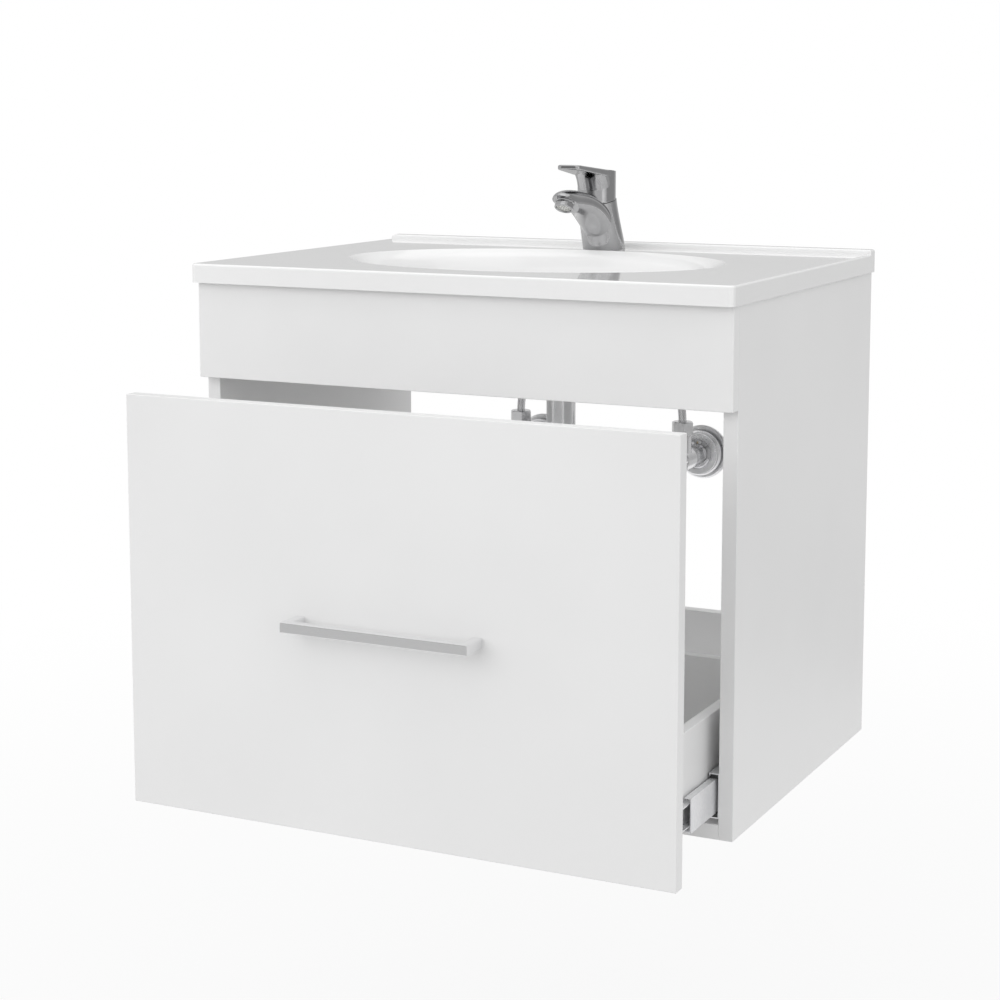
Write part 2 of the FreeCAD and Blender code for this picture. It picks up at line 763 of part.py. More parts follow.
guide_hub = rod("drain_guide_hub", GUIDE_RADIUS + 2.5, GUIDE_HEIGHT, 0, y_drain, guide_low)
guide_bore = rod("drain_guide_bore", GUIDE_RADIUS + S.fit, GUIDE_HEIGHT, 0, y_drain, guide_low + GUIDE_END)
drain_whole = fuse("drain_whole", [drain_body, guide_bar, guide_hub])
node("drain_body", cut("drain_guided", drain_whole, [guide_bore]))
node("drain_gasket", place(turned("drain_gasket_turned", [
    (r_drain + S.fit, 0), (r_drain + 8, 0), (r_drain + 8, gasket), (r_drain + S.fit, gasket)]),
    0, y_drain, z_floor - floor - gasket))
locknut = turned("drain_locknut_turned", [
    (r_drain + S.fit, 0), (r_drain + 7, 0), (r_drain + 8, 1), (r_drain + 8, nut_height),
    (r_drain + S.fit, nut_height)])
node("drain_locknut", place(locknut, 0, y_drain, z_floor - floor - gasket - nut_height))
plug_radius = r_drain - 4.5
node("drain_plug", place(turned("drain_plug_turned", [
    (0, -STEM_END), (GUIDE_RADIUS, -STEM_END), (GUIDE_RADIUS, -4), (plug_radius - 2, -4), (plug_radius, -2),
    (plug_radius, 0.5), (plug_radius + 1.6, 2.9), (plug_radius + 1.6, 4.2), (plug_radius - 3, 6.2), (0, 7)]),
    0, y_drain, z_floor))

# Trap: union nut, inlet tube, bottle with outlet, cup, outlet tube and wall flange.
UNION_LENGTH = 24
UNION_GRIP = 16
trap_nut = turned("trap_nut", [
    (r_union + S.fit, 0), (r_union + 2.2, 0), (r_union + 3, 1), (r_union + 3, UNION_LENGTH - 5),
    (r_union - 1, UNION_LENGTH), (r_tube + S.fit, UNION_LENGTH), (r_tube + S.fit, UNION_GRIP),
    (r_union + S.fit, UNION_GRIP)])
z_union = z_floor - drain_end
r_bottle = S.bottle / 2
bottle_wall = 2.5
z_bottle = z_outlet + r_union + S.outlet_clear
bottle_height = 2 * r_union + 2 * S.outlet_clear + S.cup_overlap
stub = 14
tube_low = z_bottle - bottle_height - 11
node("trap_inlet_tube", place(turned("trap_inlet_tube_turned", [
    (r_bore, 0), (r_tube + 3, 0), (r_tube + 3, -2), (r_tube, -2), (r_tube, tube_low - z_union),
    (r_bore, tube_low - z_union)]), 0, y_drain, z_union))
outlet_from = S.bottle / 2 - 6
outlet_end = r_bottle + stub + 4
bottle_form = place(turned("trap_bottle_form", [
    (0, stub), (r_union, stub), (r_union, 0), (r_bottle - bottle_wall, 0), (r_bottle, -bottle_wall),
    (r_bottle, -bottle_height), (0, -bottle_height)]), 0, y_drain, z_bottle)
bottle_space = place(turned("trap_bottle_space", [
    (0, stub + 1), (r_tube + S.fit, stub + 1), (r_tube + S.fit, -bottle_wall),
    (r_bottle - 2 * bottle_wall, -bottle_wall), (r_bottle - bottle_wall, -2 * bottle_wall),
    (r_bottle - bottle_wall, -bottle_height - 1), (0, -bottle_height - 1)]), 0, y_drain, z_bottle)
outlet_stub = rod("trap_outlet_stub", r_union, outlet_end - outlet_from, 0, y_drain + outlet_from,
                  z_outlet, "y")
outlet_bore = rod("trap_outlet_bore", r_bore, outlet_end, 0, y_drain + outlet_from - 10, z_outlet, "y")
bottle_whole = fuse("trap_bottle_whole", [bottle_form, outlet_stub])
bottle_open = cut("trap_bottle_open", bottle_whole, [bottle_space])
node("trap_bottle", cut("trap_bottle_clear", bottle_open, [outlet_bore]))
cup_low = -S.cup_height
cup_floor = cup_low + 3
node("trap_cup", place(turned("trap_cup_turned", [
    (0, cup_low), (r_bottle - 10, cup_low), (r_bottle + bottle_wall, cup_low + 12),
    (r_bottle + bottle_wall, 0), (r_bottle + S.slip, 0), (r_bottle + S.slip, -S.cup_overlap),
    (r_bottle - 2, -S.cup_overlap),
    (r_bottle - 2, cup_floor + 11), (r_bottle - 11, cup_floor), (0, cup_floor)]),
    0, y_drain, z_bottle - bottle_height + S.cup_overlap))
SPIGOT = 30
y_out = y_drain + outlet_end
r_spigot = r_tube - 0.6
node("trap_outlet_tube", place(turned("trap_outlet_tube_turned", [
    (r_bore, 0), (r_tube + 3, 0), (r_tube + 3, 2), (r_tube, 2), (r_tube, -y_out), (r_spigot, -y_out),
    (r_spigot, SPIGOT - y_out), (r_bore, SPIGOT - y_out)]), 0, y_out, z_outlet, "y"))
node("trap_wall_flange", place(turned("trap_wall_flange_turned", [
    (r_tube + S.slip, 0), (r_tube + 19, 0), (r_tube + 19, 2), (r_tube + 12, 7), (r_tube + 3, 12),
    (r_tube + S.slip, 12)]), 0, 0, z_outlet, "-y"))
copies("trap_nuts", trap_nut, [
    (0, y_drain, z_union + UNION_GRIP - 2, "-z"),
    (0, y_drain, z_bottle, "z"),
    (0, y_out - UNION_GRIP + 2, z_outlet, "y"),
])

# Tap: heights count from the deck, forward is -Y. The lever rests in a round seat on top of the body; the
# middle of the seat lies a little in front of the housing, so the seam dips towards the spout.
r_base = S.faucet_base / 2
r_house = S.housing_width / 2
lean = S.faucet_lean
y_house = y_tap - lean
y_ball = y_house - S.seat_shift
z_ball = z_top + z_pivot
column = loft("tap_column", [
    ring("column_low", r_base, r_base, 0, y_tap, z_top),
    ring("column_foot", r_base - 0.2, r_base - 0.2, 0, y_tap - 0.12 * lean, z_top + 0.12 * S.seat_height),
    ring("column_mid", r_house + 1.4, r_house + 1.4, 0, y_tap - 0.55 * lean, z_top + 0.55 * S.seat_height),
    ring("column_high", r_house + 0.4, r_house + 0.4, 0, y_house, z_top + S.seat_height + 6),
])
# Spout sections from the column to the rounded nose: shares of reach and height, half width and half height
# as shares of the end radius, and the tilt of the section.
SPOUT = (
    (0.075, 0.386, 1.56, 1.38, 35),
    (0.355, 0.746, 1.43, 1.13, 62),
    (0.654, 0.956, 1.18, 0.94, 86),
    (0.888, 1.018, 1.04, 0.89, 92),
    (1.009, 1.032, 0.99, 0.83, 96),
    (1.075, 1.039, 0.87, 0.72, 97),
    (1.117, 1.043, 0.63, 0.54, 97),
    (1.136, 1.045, 0.32, 0.28, 97),
    (1.140, 1.046, 0.12, 0.10, 97),
)
OUTLET_TILT = 150
r_end = S.spout_end / 2
spout = loft("tap_spout", [
    ring(f"spout_section{i}", wide * r_end, tall * r_end, 0, y_tap - out * S.spout_reach,
         z_top + up * S.spout_height, tilt) for i, (out, up, wide, tall, tilt) in enumerate(SPOUT)])
tap_whole = fuse("tap_whole", [column, spout])
seat = doc.addObject("Part::Sphere", "tap_seat")
bind(seat, Radius=S.ball_radius + 0.5)
place(seat, 0, y_ball, z_ball)
end_turn = FreeCAD.Rotation(V(1, 0, 0), OUTLET_TILT)
end_step = end_turn.multVec(V(0, 0, 1))
r_aerator = S.aerator / 2
AERATOR_DEPTH = 4
AERATOR_OUT = 8


def tip(back):
    """A point on the outlet axis, so far behind the face cut under the nose."""
    return (0, y_tap - S.spout_reach - back * end_step.y, z_top + S.spout_height - back * end_step.z)


outlet_face = rod("tap_outlet_face", 1.9 * r_end, 2 * r_end, *tip(0), end_turn)
aerator_hole = rod("tap_aerator_hole", r_aerator + S.fit, AERATOR_DEPTH + 3, *tip(AERATOR_DEPTH), end_turn)
CARTRIDGE_RADIUS = 11
CARTRIDGE_HEIGHT = 16
z_cartridge = z_ball - S.ball_radius - 4 - CARTRIDGE_HEIGHT
cartridge_hole = rod("tap_cartridge_hole", CARTRIDGE_RADIUS + S.fit, CARTRIDGE_HEIGHT + 10,
                     0, y_ball, z_cartridge)
STEM_SIDE = 8
STEM_BACK = 4
STEM_IN = 12
stem_holes = [rod(f"tap_stem_hole_{word}", 5 + S.fit, STEM_IN, side * STEM_SIDE, y_tap + STEM_BACK, z_top)
              for side, word in SIDES]
STUD_FRONT = 9
stud_hole = rod("tap_stud_hole", 3 + S.fit, 14, 0, y_tap - STUD_FRONT, z_top)
tap_cut = cut("tap_seated", tap_whole, [seat])
tap_tools = [outlet_face, aerator_hole, cartridge_hole, stud_hole] + stem_holes
node("faucet_body", cut("tap_bored", tap_cut, tap_tools))
aerator_end = AERATOR_DEPTH + AERATOR_OUT
aerator = turned("faucet_aerator_turned", [
    (0, 2), (r_aerator - 2.5, 2), (r_aerator - 2.5, aerator_end - 1), (r_aerator - 2, aerator_end),
    (r_aerator - 0.8, aerator_end), (r_aerator, aerator_end - 0.8), (r_aerator, aerator_end - 3),
    (r_aerator - 0.6, aerator_end - 3.4), (r_aerator - 0.6, AERATOR_DEPTH + 0.8),
    (r_aerator, AERATOR_DEPTH + 0.2), (r_aerator, 0), (0, 0)])
node("faucet_aerator", place(aerator, *tip(AERATOR_DEPTH), end_turn))
SCREEN_THICK = 1.5
SCREEN_BACK = 3.5
SCREEN_PITCH = 2.9
SCREEN_HOLE = 1.05
screen_blank = rod("aerator_screen_disc", r_aerator - 2.5 - S.fit, SCREEN_THICK, 0, 0, 0)
screen_holes = [rod("aerator_screen_hole0", SCREEN_HOLE, SCREEN_THICK + 2, 0, 0, -1)]
for circle_at, count in ((1, 6), (2, 12)):
    for i in range(count):
        turn = 2 * math.pi * i / count
        screen_holes.append(rod(f"aerator_screen_hole{circle_at}_{i}", SCREEN_HOLE, SCREEN_THICK + 2,
                                circle_at * SCREEN_PITCH * math.cos(turn),
                                circle_at * SCREEN_PITCH * math.sin(turn), -1))
screen = cut("aerator_screen_cut", screen_blank, screen_holes)
node("aerator_screen", place(screen, *tip(AERATOR_DEPTH - aerator_end + SCREEN_BACK), end_turn))

SPINDLE_RADIUS = 6
SOCKET = 8
node("faucet_cartridge", place(turned("faucet_cartridge_turned", [
    (0, 0), (CARTRIDGE_RADIUS, 0), (CARTRIDGE_RADIUS, CARTRIDGE_HEIGHT),
    (SPINDLE_RADIUS + S.fit, CARTRIDGE_HEIGHT), (SPINDLE_RADIUS + S.fit, CARTRIDGE_HEIGHT - SOCKET),
    (0, CARTRIDGE_HEIGHT - SOCKET)]), 0, y_ball, z_cartridge))
PIN_RADIUS = 2
PIN_LENGTH = 26
spindle_low = z_cartridge + CARTRIDGE_HEIGHT - SOCKET + S.slip
spindle_blank = rod("spindle_blank", SPINDLE_RADIUS, z_ball + 5 - spindle_low, 0, y_ball, spindle_low)
pin_hole = rod("spindle_pin_hole", PIN_RADIUS + 0.02, 20, -10, y_ball, z_ball, "x")
node("lever_spindle", cut("spindle_bored", spindle_blank, [pin_hole]))
node("lever_pin", rod("lever_pin_rod", PIN_RADIUS, PIN_LENGTH, -PIN_LENGTH / 2, y_ball, z_ball, "x"))

# Lever: a round housing with a ball-shaped underside, a neck that flares forward and a flat paddle that
# rises to its tip.
house_ball = doc.addObject("Part::Sphere", "lever_ball")
bind(house_ball, Radius=S.ball_radius)
place(house_ball, 0, y_ball, z_ball)
house_drum = rod("lever_drum", r_house, 2 * S.ball_radius, 0, y_house, z_ball - S.ball_radius)
house = common("lever_house", house_ball, house_drum)
drum_top = rod("lever_drum_top", r_house, 40, 0, y_house, z_ball)
# Neck sections: height as a share of the way from the seat to the top at the rear, and forward growth.
NECK = ((0.26, -0.6), (0.43, 0.1), (0.61, 1.5), (0.77, 3.4), (0.9, 5.9), (1.0, 9.2), (1.07, 13))
neck_rise = S.lever_rear_height - S.seat_height
neck_rings = []
for i, (share, growth) in enumerate(NECK):
    half_length = r_house + growth
    oval = doc.addObject("Part::Ellipse", f"lever_neck{i}")
    bind(oval, MajorRadius=half_length + 0.01, MinorRadius=r_house - 0.6 - 0.12 * max(growth, 0))
    neck_rings.append(place(oval, 0, y_house - growth - 0.4, z_top + S.seat_height + share * neck_rise,
                            FreeCAD.Rotation(V(0, 0, 1), 90)))
neck = loft("lever_neck", neck_rings)
TIP_HALF = 13.5
paddle = padded("lever_paddle", "XY_Plane", [
    (-r_house + 0.5, dim(0)), (r_house - 0.5, dim(0)), (dim(TIP_HALF), lean - S.lever_reach),
    (dim(-TIP_HALF), lean - S.lever_reach)], 60)
place(paddle, 0, y_house, z_ball)
eased(paddle, 7, lambda e: along(e, "z") and e.CenterOfMass.y < -20, "lever_tip_round")
y_rear = r_house - lean + 1
blade = padded("lever_blade", "YZ_Plane", [
    (y_rear, S.lever_rear_height - 30), (y_rear, S.lever_rear_height + 30),
    (-S.lever_reach - 10, S.lever_tip_height + 30), (-S.lever_reach, S.lever_tip_height - S.lever_thick),
    (-lean, S.lever_rear_height - S.lever_thick)], 2 * S.housing_width, True)
place(blade, 0, y_tap, z_top)
under_top = padded("lever_under_top", "YZ_Plane", [
    (y_rear, S.seat_height - 20), (y_rear, S.lever_rear_height),
    (-S.lever_reach - 1, S.lever_tip_height), (-S.lever_reach - 1, S.seat_height - 20)],
    2 * S.housing_width, True)
place(under_top, 0, y_tap, z_top)
plate_sharp = common("lever_plate_sharp", common("lever_plate_blank", paddle, blade), under_top)
PADDLE_ROUND = 2


def paddle_rim(edge):
    """True for the upper and lower rim of the paddle, not its upright seams or its end in the drum."""
    span = edge.BoundBox
    return span.XLength + span.YLength > span.ZLength and span.YMin < float(y_house) - 1


plate = rounded("lever_plate", plate_sharp, PADDLE_ROUND, paddle_rim)
lever_core = common("lever_core", fuse("lever_core_blank", [house, drum_top, neck]), under_top)
lever_form = fuse("lever_form", [lever_core, plate])
SLOT_BACK = 18
slot = box("lever_slot", -SPINDLE_RADIUS - S.slip, y_ball - SPINDLE_RADIUS - 2, z_ball - 40,
           2 * SPINDLE_RADIUS + 2 * S.slip, SPINDLE_RADIUS + 2 + SLOT_BACK, 40 + 7)
pin_bore = rod("lever_pin_bore", PIN_RADIUS + S.fit, PIN_LENGTH + 2 * S.slip, -PIN_LENGTH / 2 - S.slip,
               y_ball, z_ball, "x")
lever_slotted = cut("lever_slotted", lever_form, [slot])
node("faucet_lever", cut("lever_bored", lever_slotted, [pin_bore]))

STUD_LENGTH = 52
node("faucet_stud", rod("faucet_stud_rod", 3, STUD_LENGTH, 0, y_tap - STUD_FRONT, z_top + 13 - STUD_LENGTH))
deck_under = z_top - S.sink_deck
washer_blank = box("horseshoe_blank", -24, y_tap - 22, deck_under - 3, 48, 44, 3)
washer_slot = box("horseshoe_slot", -15, y_tap - 3, deck_under - 4, 30, 30, 5)
washer_hole = rod("horseshoe_hole", 3.3, 5, 0, y_tap - STUD_FRONT, deck_under - 4)
node("faucet_horseshoe", cut("horseshoe_bored", washer_blank, [washer_slot, washer_hole]))


def hexagon(name, flats, height, bore):
    """A six-sided nut along Z with its bore."""
    body = doc.addObject("Part::Prism", name + "_prism")
    body.Polygon = 6
    bind(body, Circumradius=flats / math.sqrt(3), Height=height)
    hole = rod(name + "_bore", bore, height + 2, 0, 0, -1)
    return cut(name, body, [hole])


tap_nut = hexagon("tap_nut", 11, 6, dim(3) + S.fit)
node("faucet_nut", place(tap_nut, 0, y_tap - STUD_FRONT, deck_under - 9))

# Water supply: angle valves at the wall, hoses up to the tap.
STEM_TAIL = 40
FERRULE = 18
r_hose = S.hose / 2
stem = turned("hose_stem", [
    (0, STEM_IN), (5, STEM_IN), (5, FERRULE - STEM_TAIL), (6.2, FERRULE - STEM_TAIL), (6.2, -STEM_TAIL + 1),
    (5.4, -STEM_TAIL), (0, -STEM_TAIL)])
copies("hose_stems", stem, [(side * STEM_SIDE, y_tap + STEM_BACK, z_top, "z") for side, _ in SIDES])

x_valve = S.valve_span / 2
y_riser = -S.valve_reach
RISER = 29
RISER_THREAD = 10
NUT_HEIGHT = 15
INLET_RADIUS = 10.48
INLET_LENGTH = 14
SPINDLE_END = 4
KNOB_BORE = 15
y_shoulder = S.valve_reach + 22
for side, word in SIDES:
    barrel = turned(f"valve_barrel_{word}", [
        (0, -INLET_LENGTH), (INLET_RADIUS - 1, -INLET_LENGTH), (INLET_RADIUS, 1 - INLET_LENGTH),
        (INLET_RADIUS, 0), (11, 0), (11, S.valve_reach - 16), (13, S.valve_reach - 14),
        (13, S.valve_reach + 12), (11, S.valve_reach + 14), (11, y_shoulder),
        (SPINDLE_END, y_shoulder), (SPINDLE_END, y_shoulder + KNOB_BORE), (0, y_shoulder + KNOB_BORE)])
    place(barrel, side * x_valve, 0, z_valve, "-y")
    riser = turned(f"valve_riser_{word}", [
        (0, 0), (10.5, 0), (10.5, RISER - 2), (9.5, RISER), (7.5, RISER), (7.5, RISER + RISER_THREAD),
        (0, RISER + RISER_THREAD)])
    place(riser, side * x_valve, y_riser, z_valve)
    node(f"valve_body_{word}", fuse(f"valve_whole_{word}", [barrel, riser]))
flange = turned("valve_flange_turned", [
    (11 + S.slip, 0), (S.valve_flange / 2, 0), (S.valve_flange / 2, 3), (S.valve_flange / 2 - 2, 5),
    (S.valve_flange / 2 - 9, 5), (S.valve_flange / 2 - 9, 9), (S.valve_flange / 2 - 5, 9),
    (S.valve_flange / 2 - 5, 13), (S.valve_flange / 2 - 6.5, 15), (11 + S.slip, 15)])
copies("valve_flanges", flange, [(side * x_valve, 0, z_valve, "-y") for side, _ in SIDES])

KNOB_RADIUS = 19
KNOB_DEPTH = 20
KNOB_FLUTES = 8
for side, word in SIDES:
    knob = turned(f"valve_knob_{word}_turned", [
        (SPINDLE_END + S.fit, 0), (12, 0), (KNOB_RADIUS - 1, 5), (KNOB_RADIUS, 7),
        (KNOB_RADIUS, KNOB_DEPTH - 4), (KNOB_RADIUS - 3, KNOB_DEPTH),
        (0, KNOB_DEPTH + 1), (0, KNOB_BORE), (SPINDLE_END + S.fit, KNOB_BORE)])
    flute = circle(knob, "XY_Plane", dim(KNOB_RADIUS + 3), 0, 5.5, f"knob_flute_{word}")
    pocket = pocketed(knob, flute, 4 * KNOB_DEPTH, f"knob_pocket_{word}")
    flutes = knob.newObject("PartDesign::PolarPattern", f"knob_flutes_{word}")
    flutes.Originals = [pocket]
    flutes.Axis = (flute, ["N_Axis"])
    flutes.Angle = 360
    flutes.Occurrences = KNOB_FLUTES
    knob.Tip = flutes
    node(f"valve_knob_{word}", place(knob, side * x_valve, -y_shoulder - S.slip, z_valve, "-y"))

NUT_FLATS = 22
nut_hexagon = hexagon("hose_nut_hexagon", NUT_FLATS, NUT_HEIGHT, r_hose + 0.1)
nut_turned = turned("hose_nut_turned", [
    (0, 0), (NUT_FLATS / 2, 0), (NUT_FLATS / 2 + 2, 1), (NUT_FLATS / 2 + 2, NUT_HEIGHT - 1.6),
    (NUT_FLATS / 2 - 0.6, NUT_HEIGHT), (0, NUT_HEIGHT)])
nut_blank = common("hose_nut_blank", nut_hexagon, nut_turned)
nut_socket = rod("hose_nut_socket", 7.5 + S.fit, RISER_THREAD + 0.05, 0, 0, 0)
hose_nut = cut("hose_nut", nut_blank, [nut_socket])
copies("hose_nuts", hose_nut, [(side * x_valve, y_riser, z_valve + RISER, "z") for side, _ in SIDES])

# Hose route from the stem end to the valve: shares of the sideways way and of the drop.
ROUTE = ((0, 0), (0, 0.21), (0.24, 0.42), (0.76, 0.58), (1, 0.79), (1, 1))
z_hose_top = z_top - STEM_TAIL
z_hose_end = z_valve + RISER + RISER_THREAD
for side, word in SIDES:
    start = V(side * STEM_SIDE, float(y_tap + STEM_BACK), float(z_hose_top))
    end = V(side * float(x_valve), float(y_riser), float(z_hose_end))
    points = [V(start.x + across * (end.x - start.x), start.y + across * (end.y - start.y),
                start.z + down * (end.z - start.z)) for across, down in ROUTE]
    edges = []
    length = 0.0
    radii = []
    here = points[0]
    for before, corner, after in zip(points, points[1:], points[2:]):
        way_in = (corner - before).normalize()
        way_out = (after - corner).normalize()
        half = way_in.getAngle(way_out) / 2
        setback = 0.45 * min((corner - before).Length, (after - corner).Length)
        radius = setback / math.tan(half)
        leave = corner - way_in * setback
        join = corner + way_out * setback
        bisector = (way_out - way_in).normalize()
        centre = corner + bisector * (radius / math.cos(half))
        edges.append(Part.makeLine(here, leave))
        edges.append(Part.Arc(leave, centre - bisector * radius, join).toShape())
        length += (leave - here).Length + 2 * half * radius
        radii.append(radius)
        here = join
    edges.append(Part.makeLine(here, points[-1]))
    length += (points[-1] - here).Length
    spine = Part.Wire(edges)
    section = Part.Wire(Part.makeCircle(float(r_hose), points[0], V(0, 0, 1)))
    hose = doc.addObject("Part::Feature", f"hose_{word}_tube")
    hose.Shape = spine.makePipeShell([section], True, False)
    volume = math.pi * float(r_hose) ** 2 * length
    print(f"hose_{word}: radii {[round(r, 1) for r in radii]}, length {length:.1f}, "
          f"volume share {hose.Shape.Volume / volume:.4f}")
    print(f"hose_{word}: points {[tuple(round(c, 3) for c in p) for p in points]}")
    node(f"hose_{word}", hose)

# Drawer: two sides, back and thin bottom in grooves behind a tall front; drawn pulled out.
x_box = x_drawer - S.drawer_board
y_box_back = y_pulled + drawer_length
z_groove = z_drawer + S.groove_up
GROOVE_PLAY = 0.1
drawer_bracket_z = (z_drawer + S.drawer_side_height - 20, z_drawer + S.drawer_side_height - 56)
drawer_brackets = []
drawer_bracket_screws = []
for side, word in SIDES:
    for i, z in enumerate(drawer_bracket_z):
        solid, spots = bracket(f"drawer_bracket_{word}{i}", side, x_box, y_pulled, z)
        drawer_brackets.append(solid)
        drawer_bracket_screws += [(side, spot) for spot in spots]
node("drawer_brackets", compound("drawer_brackets_set", drawer_brackets))
copies("drawer_screws", screw, [spot for _, spot in drawer_bracket_screws + rail_screws["inner_rails"]])

BACK_SCREW = 40
back_screw_blank = turned("back_screw_blank", [
    (0, 0), (3.5, 0), (2.5, 2), (2.5, BACK_SCREW - 3), (0, BACK_SCREW)])
back_screw = crossed("back_screw", back_screw_blank, 0, 4)
back_screw_places = []
for side, word in SIDES:
    x_low = x_box if side > 0 else -x_drawer
    board = panel(f"drawer_{word}", x_low, y_pulled, z_drawer,
                  S.drawer_board, drawer_length, S.drawer_side_height)
    x_groove = x_box - 1 if side > 0 else -x_box - S.groove_depth
    groove = box(f"drawer_{word}_groove", x_groove, y_pulled - 1, z_groove - GROOVE_PLAY, S.groove_depth + 1,
                 drawer_length + 2, S.drawer_bottom + 2 * GROOVE_PLAY)
    tools = [groove]
    inward = "-x" if side > 0 else "x"
    for i, spot in enumerate(s for at, s in drawer_bracket_screws + rail_screws["inner_rails"] if at == side):
        if spot[3] != "-y":
            tools.append(screw_hole(f"drawer_{word}_screw{i}", spot))
    for i, up in enumerate((S.drawer_side_height - 20, S.drawer_side_height - 52)):
        spot = (side * x_drawer, y_box_back - S.drawer_board / 2, z_drawer + up, inward)
        back_screw_places.append(spot)
        tools.append(drill(f"drawer_{word}_back{i}", 3.5 + S.fit, 2, *spot))
        tools.append(rod(f"drawer_{word}_backb{i}", 2.5 + S.fit, 30, *spot))
    node(f"drawer_side_{word}", cut(f"drawer_{word}_cut", board, [fuse(f"drawer_{word}_tools", tools)]))
copies("drawer_back_screws", back_screw, back_screw_places)

back = panel("drawer_back", -x_box, y_box_back - S.drawer_board, z_drawer, 2 * x_box, S.drawer_board,
             S.drawer_side_height)
back_groove = box("drawer_back_groove", -x_box - 1, y_box_back - S.drawer_board - 1, z_groove - GROOVE_PLAY,
                  2 * x_box + 2, S.groove_depth + 1, S.drawer_bottom + 2 * GROOVE_PLAY)
back_holes = [drill(f"drawer_back_hole{i}", 2.5 + S.fit, BACK_SCREW - S.drawer_board + 1,
                    (1 if spot[3] == "-x" else -1) * x_box, spot[1], spot[2], spot[3])
              for i, spot in enumerate(back_screw_places)]
node("drawer_back", cut("drawer_back_cut", back, [back_groove] + back_holes))

into = S.groove_depth - 0.5
node("drawer_bottom", box("drawer_bottom_sheet", -x_box - into, y_pulled - into, z_groove,
                          2 * x_box + 2 * into, drawer_length - S.drawer_board + 2 * into, S.drawer_bottom))

z_handle = (z_front_top + z_front_low) / 2
x_handle = S.handle_length / 2 - S.handle_bar / 2
front = panel("drawer_front", -S.cab_width / 2, y_pulled - S.board, z_front_low, S.cab_width, S.board,
              z_front_top - z_front_low)
front_groove = box("drawer_front_groove", -x_box - S.groove_depth, y_pulled - S.groove_depth,
                   z_groove - GROOVE_PLAY, 2 * x_box + 2 * S.groove_depth, S.groove_depth + 1,
                   S.drawer_bottom + 2 * GROOVE_PLAY)
front_tools = [front_groove]
for i, (_, spot) in enumerate(drawer_bracket_screws):
    if spot[3] == "-y":
        front_tools.append(screw_hole(f"drawer_front_screw{i}", spot))
for side, word in SIDES:
    front_tools.append(drill(f"drawer_front_handle_{word}", 2.25, S.board + 2,
                             side * x_handle, y_pulled, z_handle, "-y"))
node("drawer_front", cut("drawer_front_cut", front, front_tools))

half = S.handle_length / 2
bar = padded("handle_bar_body", "XY_Plane", [
    (-half, dim(0)), (-half + S.handle_bar, dim(0)), (-half + S.handle_bar, S.handle_bar - S.handle_reach),
    (half - S.handle_bar, S.handle_bar - S.handle_reach), (half - S.handle_bar, dim(0)), (half, dim(0)),
    (half, -S.handle_reach), (-half, -S.handle_reach)], S.handle_bar, True)
eased(bar, 1.5, lambda e: along(e, "z") and e.CenterOfMass.y < -float(S.handle_reach) + 0.1, "handle_corners")
eased(bar, 0.6, lambda e: e.BoundBox.ZLength < 0.01 and e.CenterOfMass.y < -0.5, "handle_edges")
place(bar, 0, y_pulled - S.board, z_handle)
HANDLE_BITE = 9
handle_holes = [drill(f"handle_hole_{word}", 2 + S.fit, HANDLE_BITE,
                      side * x_handle, y_pulled - S.board, z_handle, "-y") for side, word in SIDES]
node("handle", cut("handle_drilled", bar, handle_holes))
handle_screw_blank = turned("handle_screw_blank", [
    (0, -2.6), (3, -2.6), (4, -1.4), (4, 0), (2, 0), (2, S.board + HANDLE_BITE - 1),
    (0, S.board + HANDLE_BITE - 1)])
handle_screw = crossed("handle_screw", handle_screw_blank, -2.6, 4.4)
copies("handle_screws", handle_screw, [(side * x_handle, y_pulled, z_handle, "-y") for side, _ in SIDES])

# Check every object and write one file for each node.
doc.recompute()
faults = [obj.Name for obj in doc.Objects if {"Invalid", "Error"} & set(obj.State)]
if faults:
    raise RuntimeError(f"objects not built: {faults}")
for label, obj in NODES.items():
    shape = obj.Shape
    if shape.isNull() or not shape.isValid() or not shape.Solids:
        raise RuntimeError(f"{label} has no valid solid")
    shape.exportStep(f"parts/{label}.step")
    print(f"{label}: {len(shape.Solids)} solids, {shape.Volume / 1000:.1f} cm3")
print(f"{len(NODES)} nodes")
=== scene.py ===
import bmesh
import bpy
import json
import math
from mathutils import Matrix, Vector


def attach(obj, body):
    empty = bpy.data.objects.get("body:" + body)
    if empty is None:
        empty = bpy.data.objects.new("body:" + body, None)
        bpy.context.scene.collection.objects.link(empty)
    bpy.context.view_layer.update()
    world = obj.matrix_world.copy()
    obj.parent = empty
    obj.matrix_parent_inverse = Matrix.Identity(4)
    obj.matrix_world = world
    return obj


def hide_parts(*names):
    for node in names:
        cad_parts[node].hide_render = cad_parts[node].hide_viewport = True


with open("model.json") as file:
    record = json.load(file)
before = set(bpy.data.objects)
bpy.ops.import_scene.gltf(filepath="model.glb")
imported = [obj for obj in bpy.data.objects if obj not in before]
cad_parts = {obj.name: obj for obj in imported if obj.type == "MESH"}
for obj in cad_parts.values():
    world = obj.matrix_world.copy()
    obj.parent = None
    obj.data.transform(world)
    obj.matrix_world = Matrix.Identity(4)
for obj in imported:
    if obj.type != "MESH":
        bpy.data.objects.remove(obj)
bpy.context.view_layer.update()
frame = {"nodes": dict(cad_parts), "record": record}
scene = bpy.context.scene
nodes = frame["nodes"]

# Camera: standing to the right of the open drawer, slightly above the sink.
PHOTO_SIDE = 1000
SENSOR = 36.0
FOCAL_PIXELS = 2189.8
CAMERA_PLACE = Vector((0.9975, -2.3413, 0.4534))
CAMERA_TURN = math.radians(26.234)
CAMERA_DIP = math.radians(7.535)
CAMERA_SHIFT_X = -0.0031
CAMERA_SHIFT_Y = -0.12

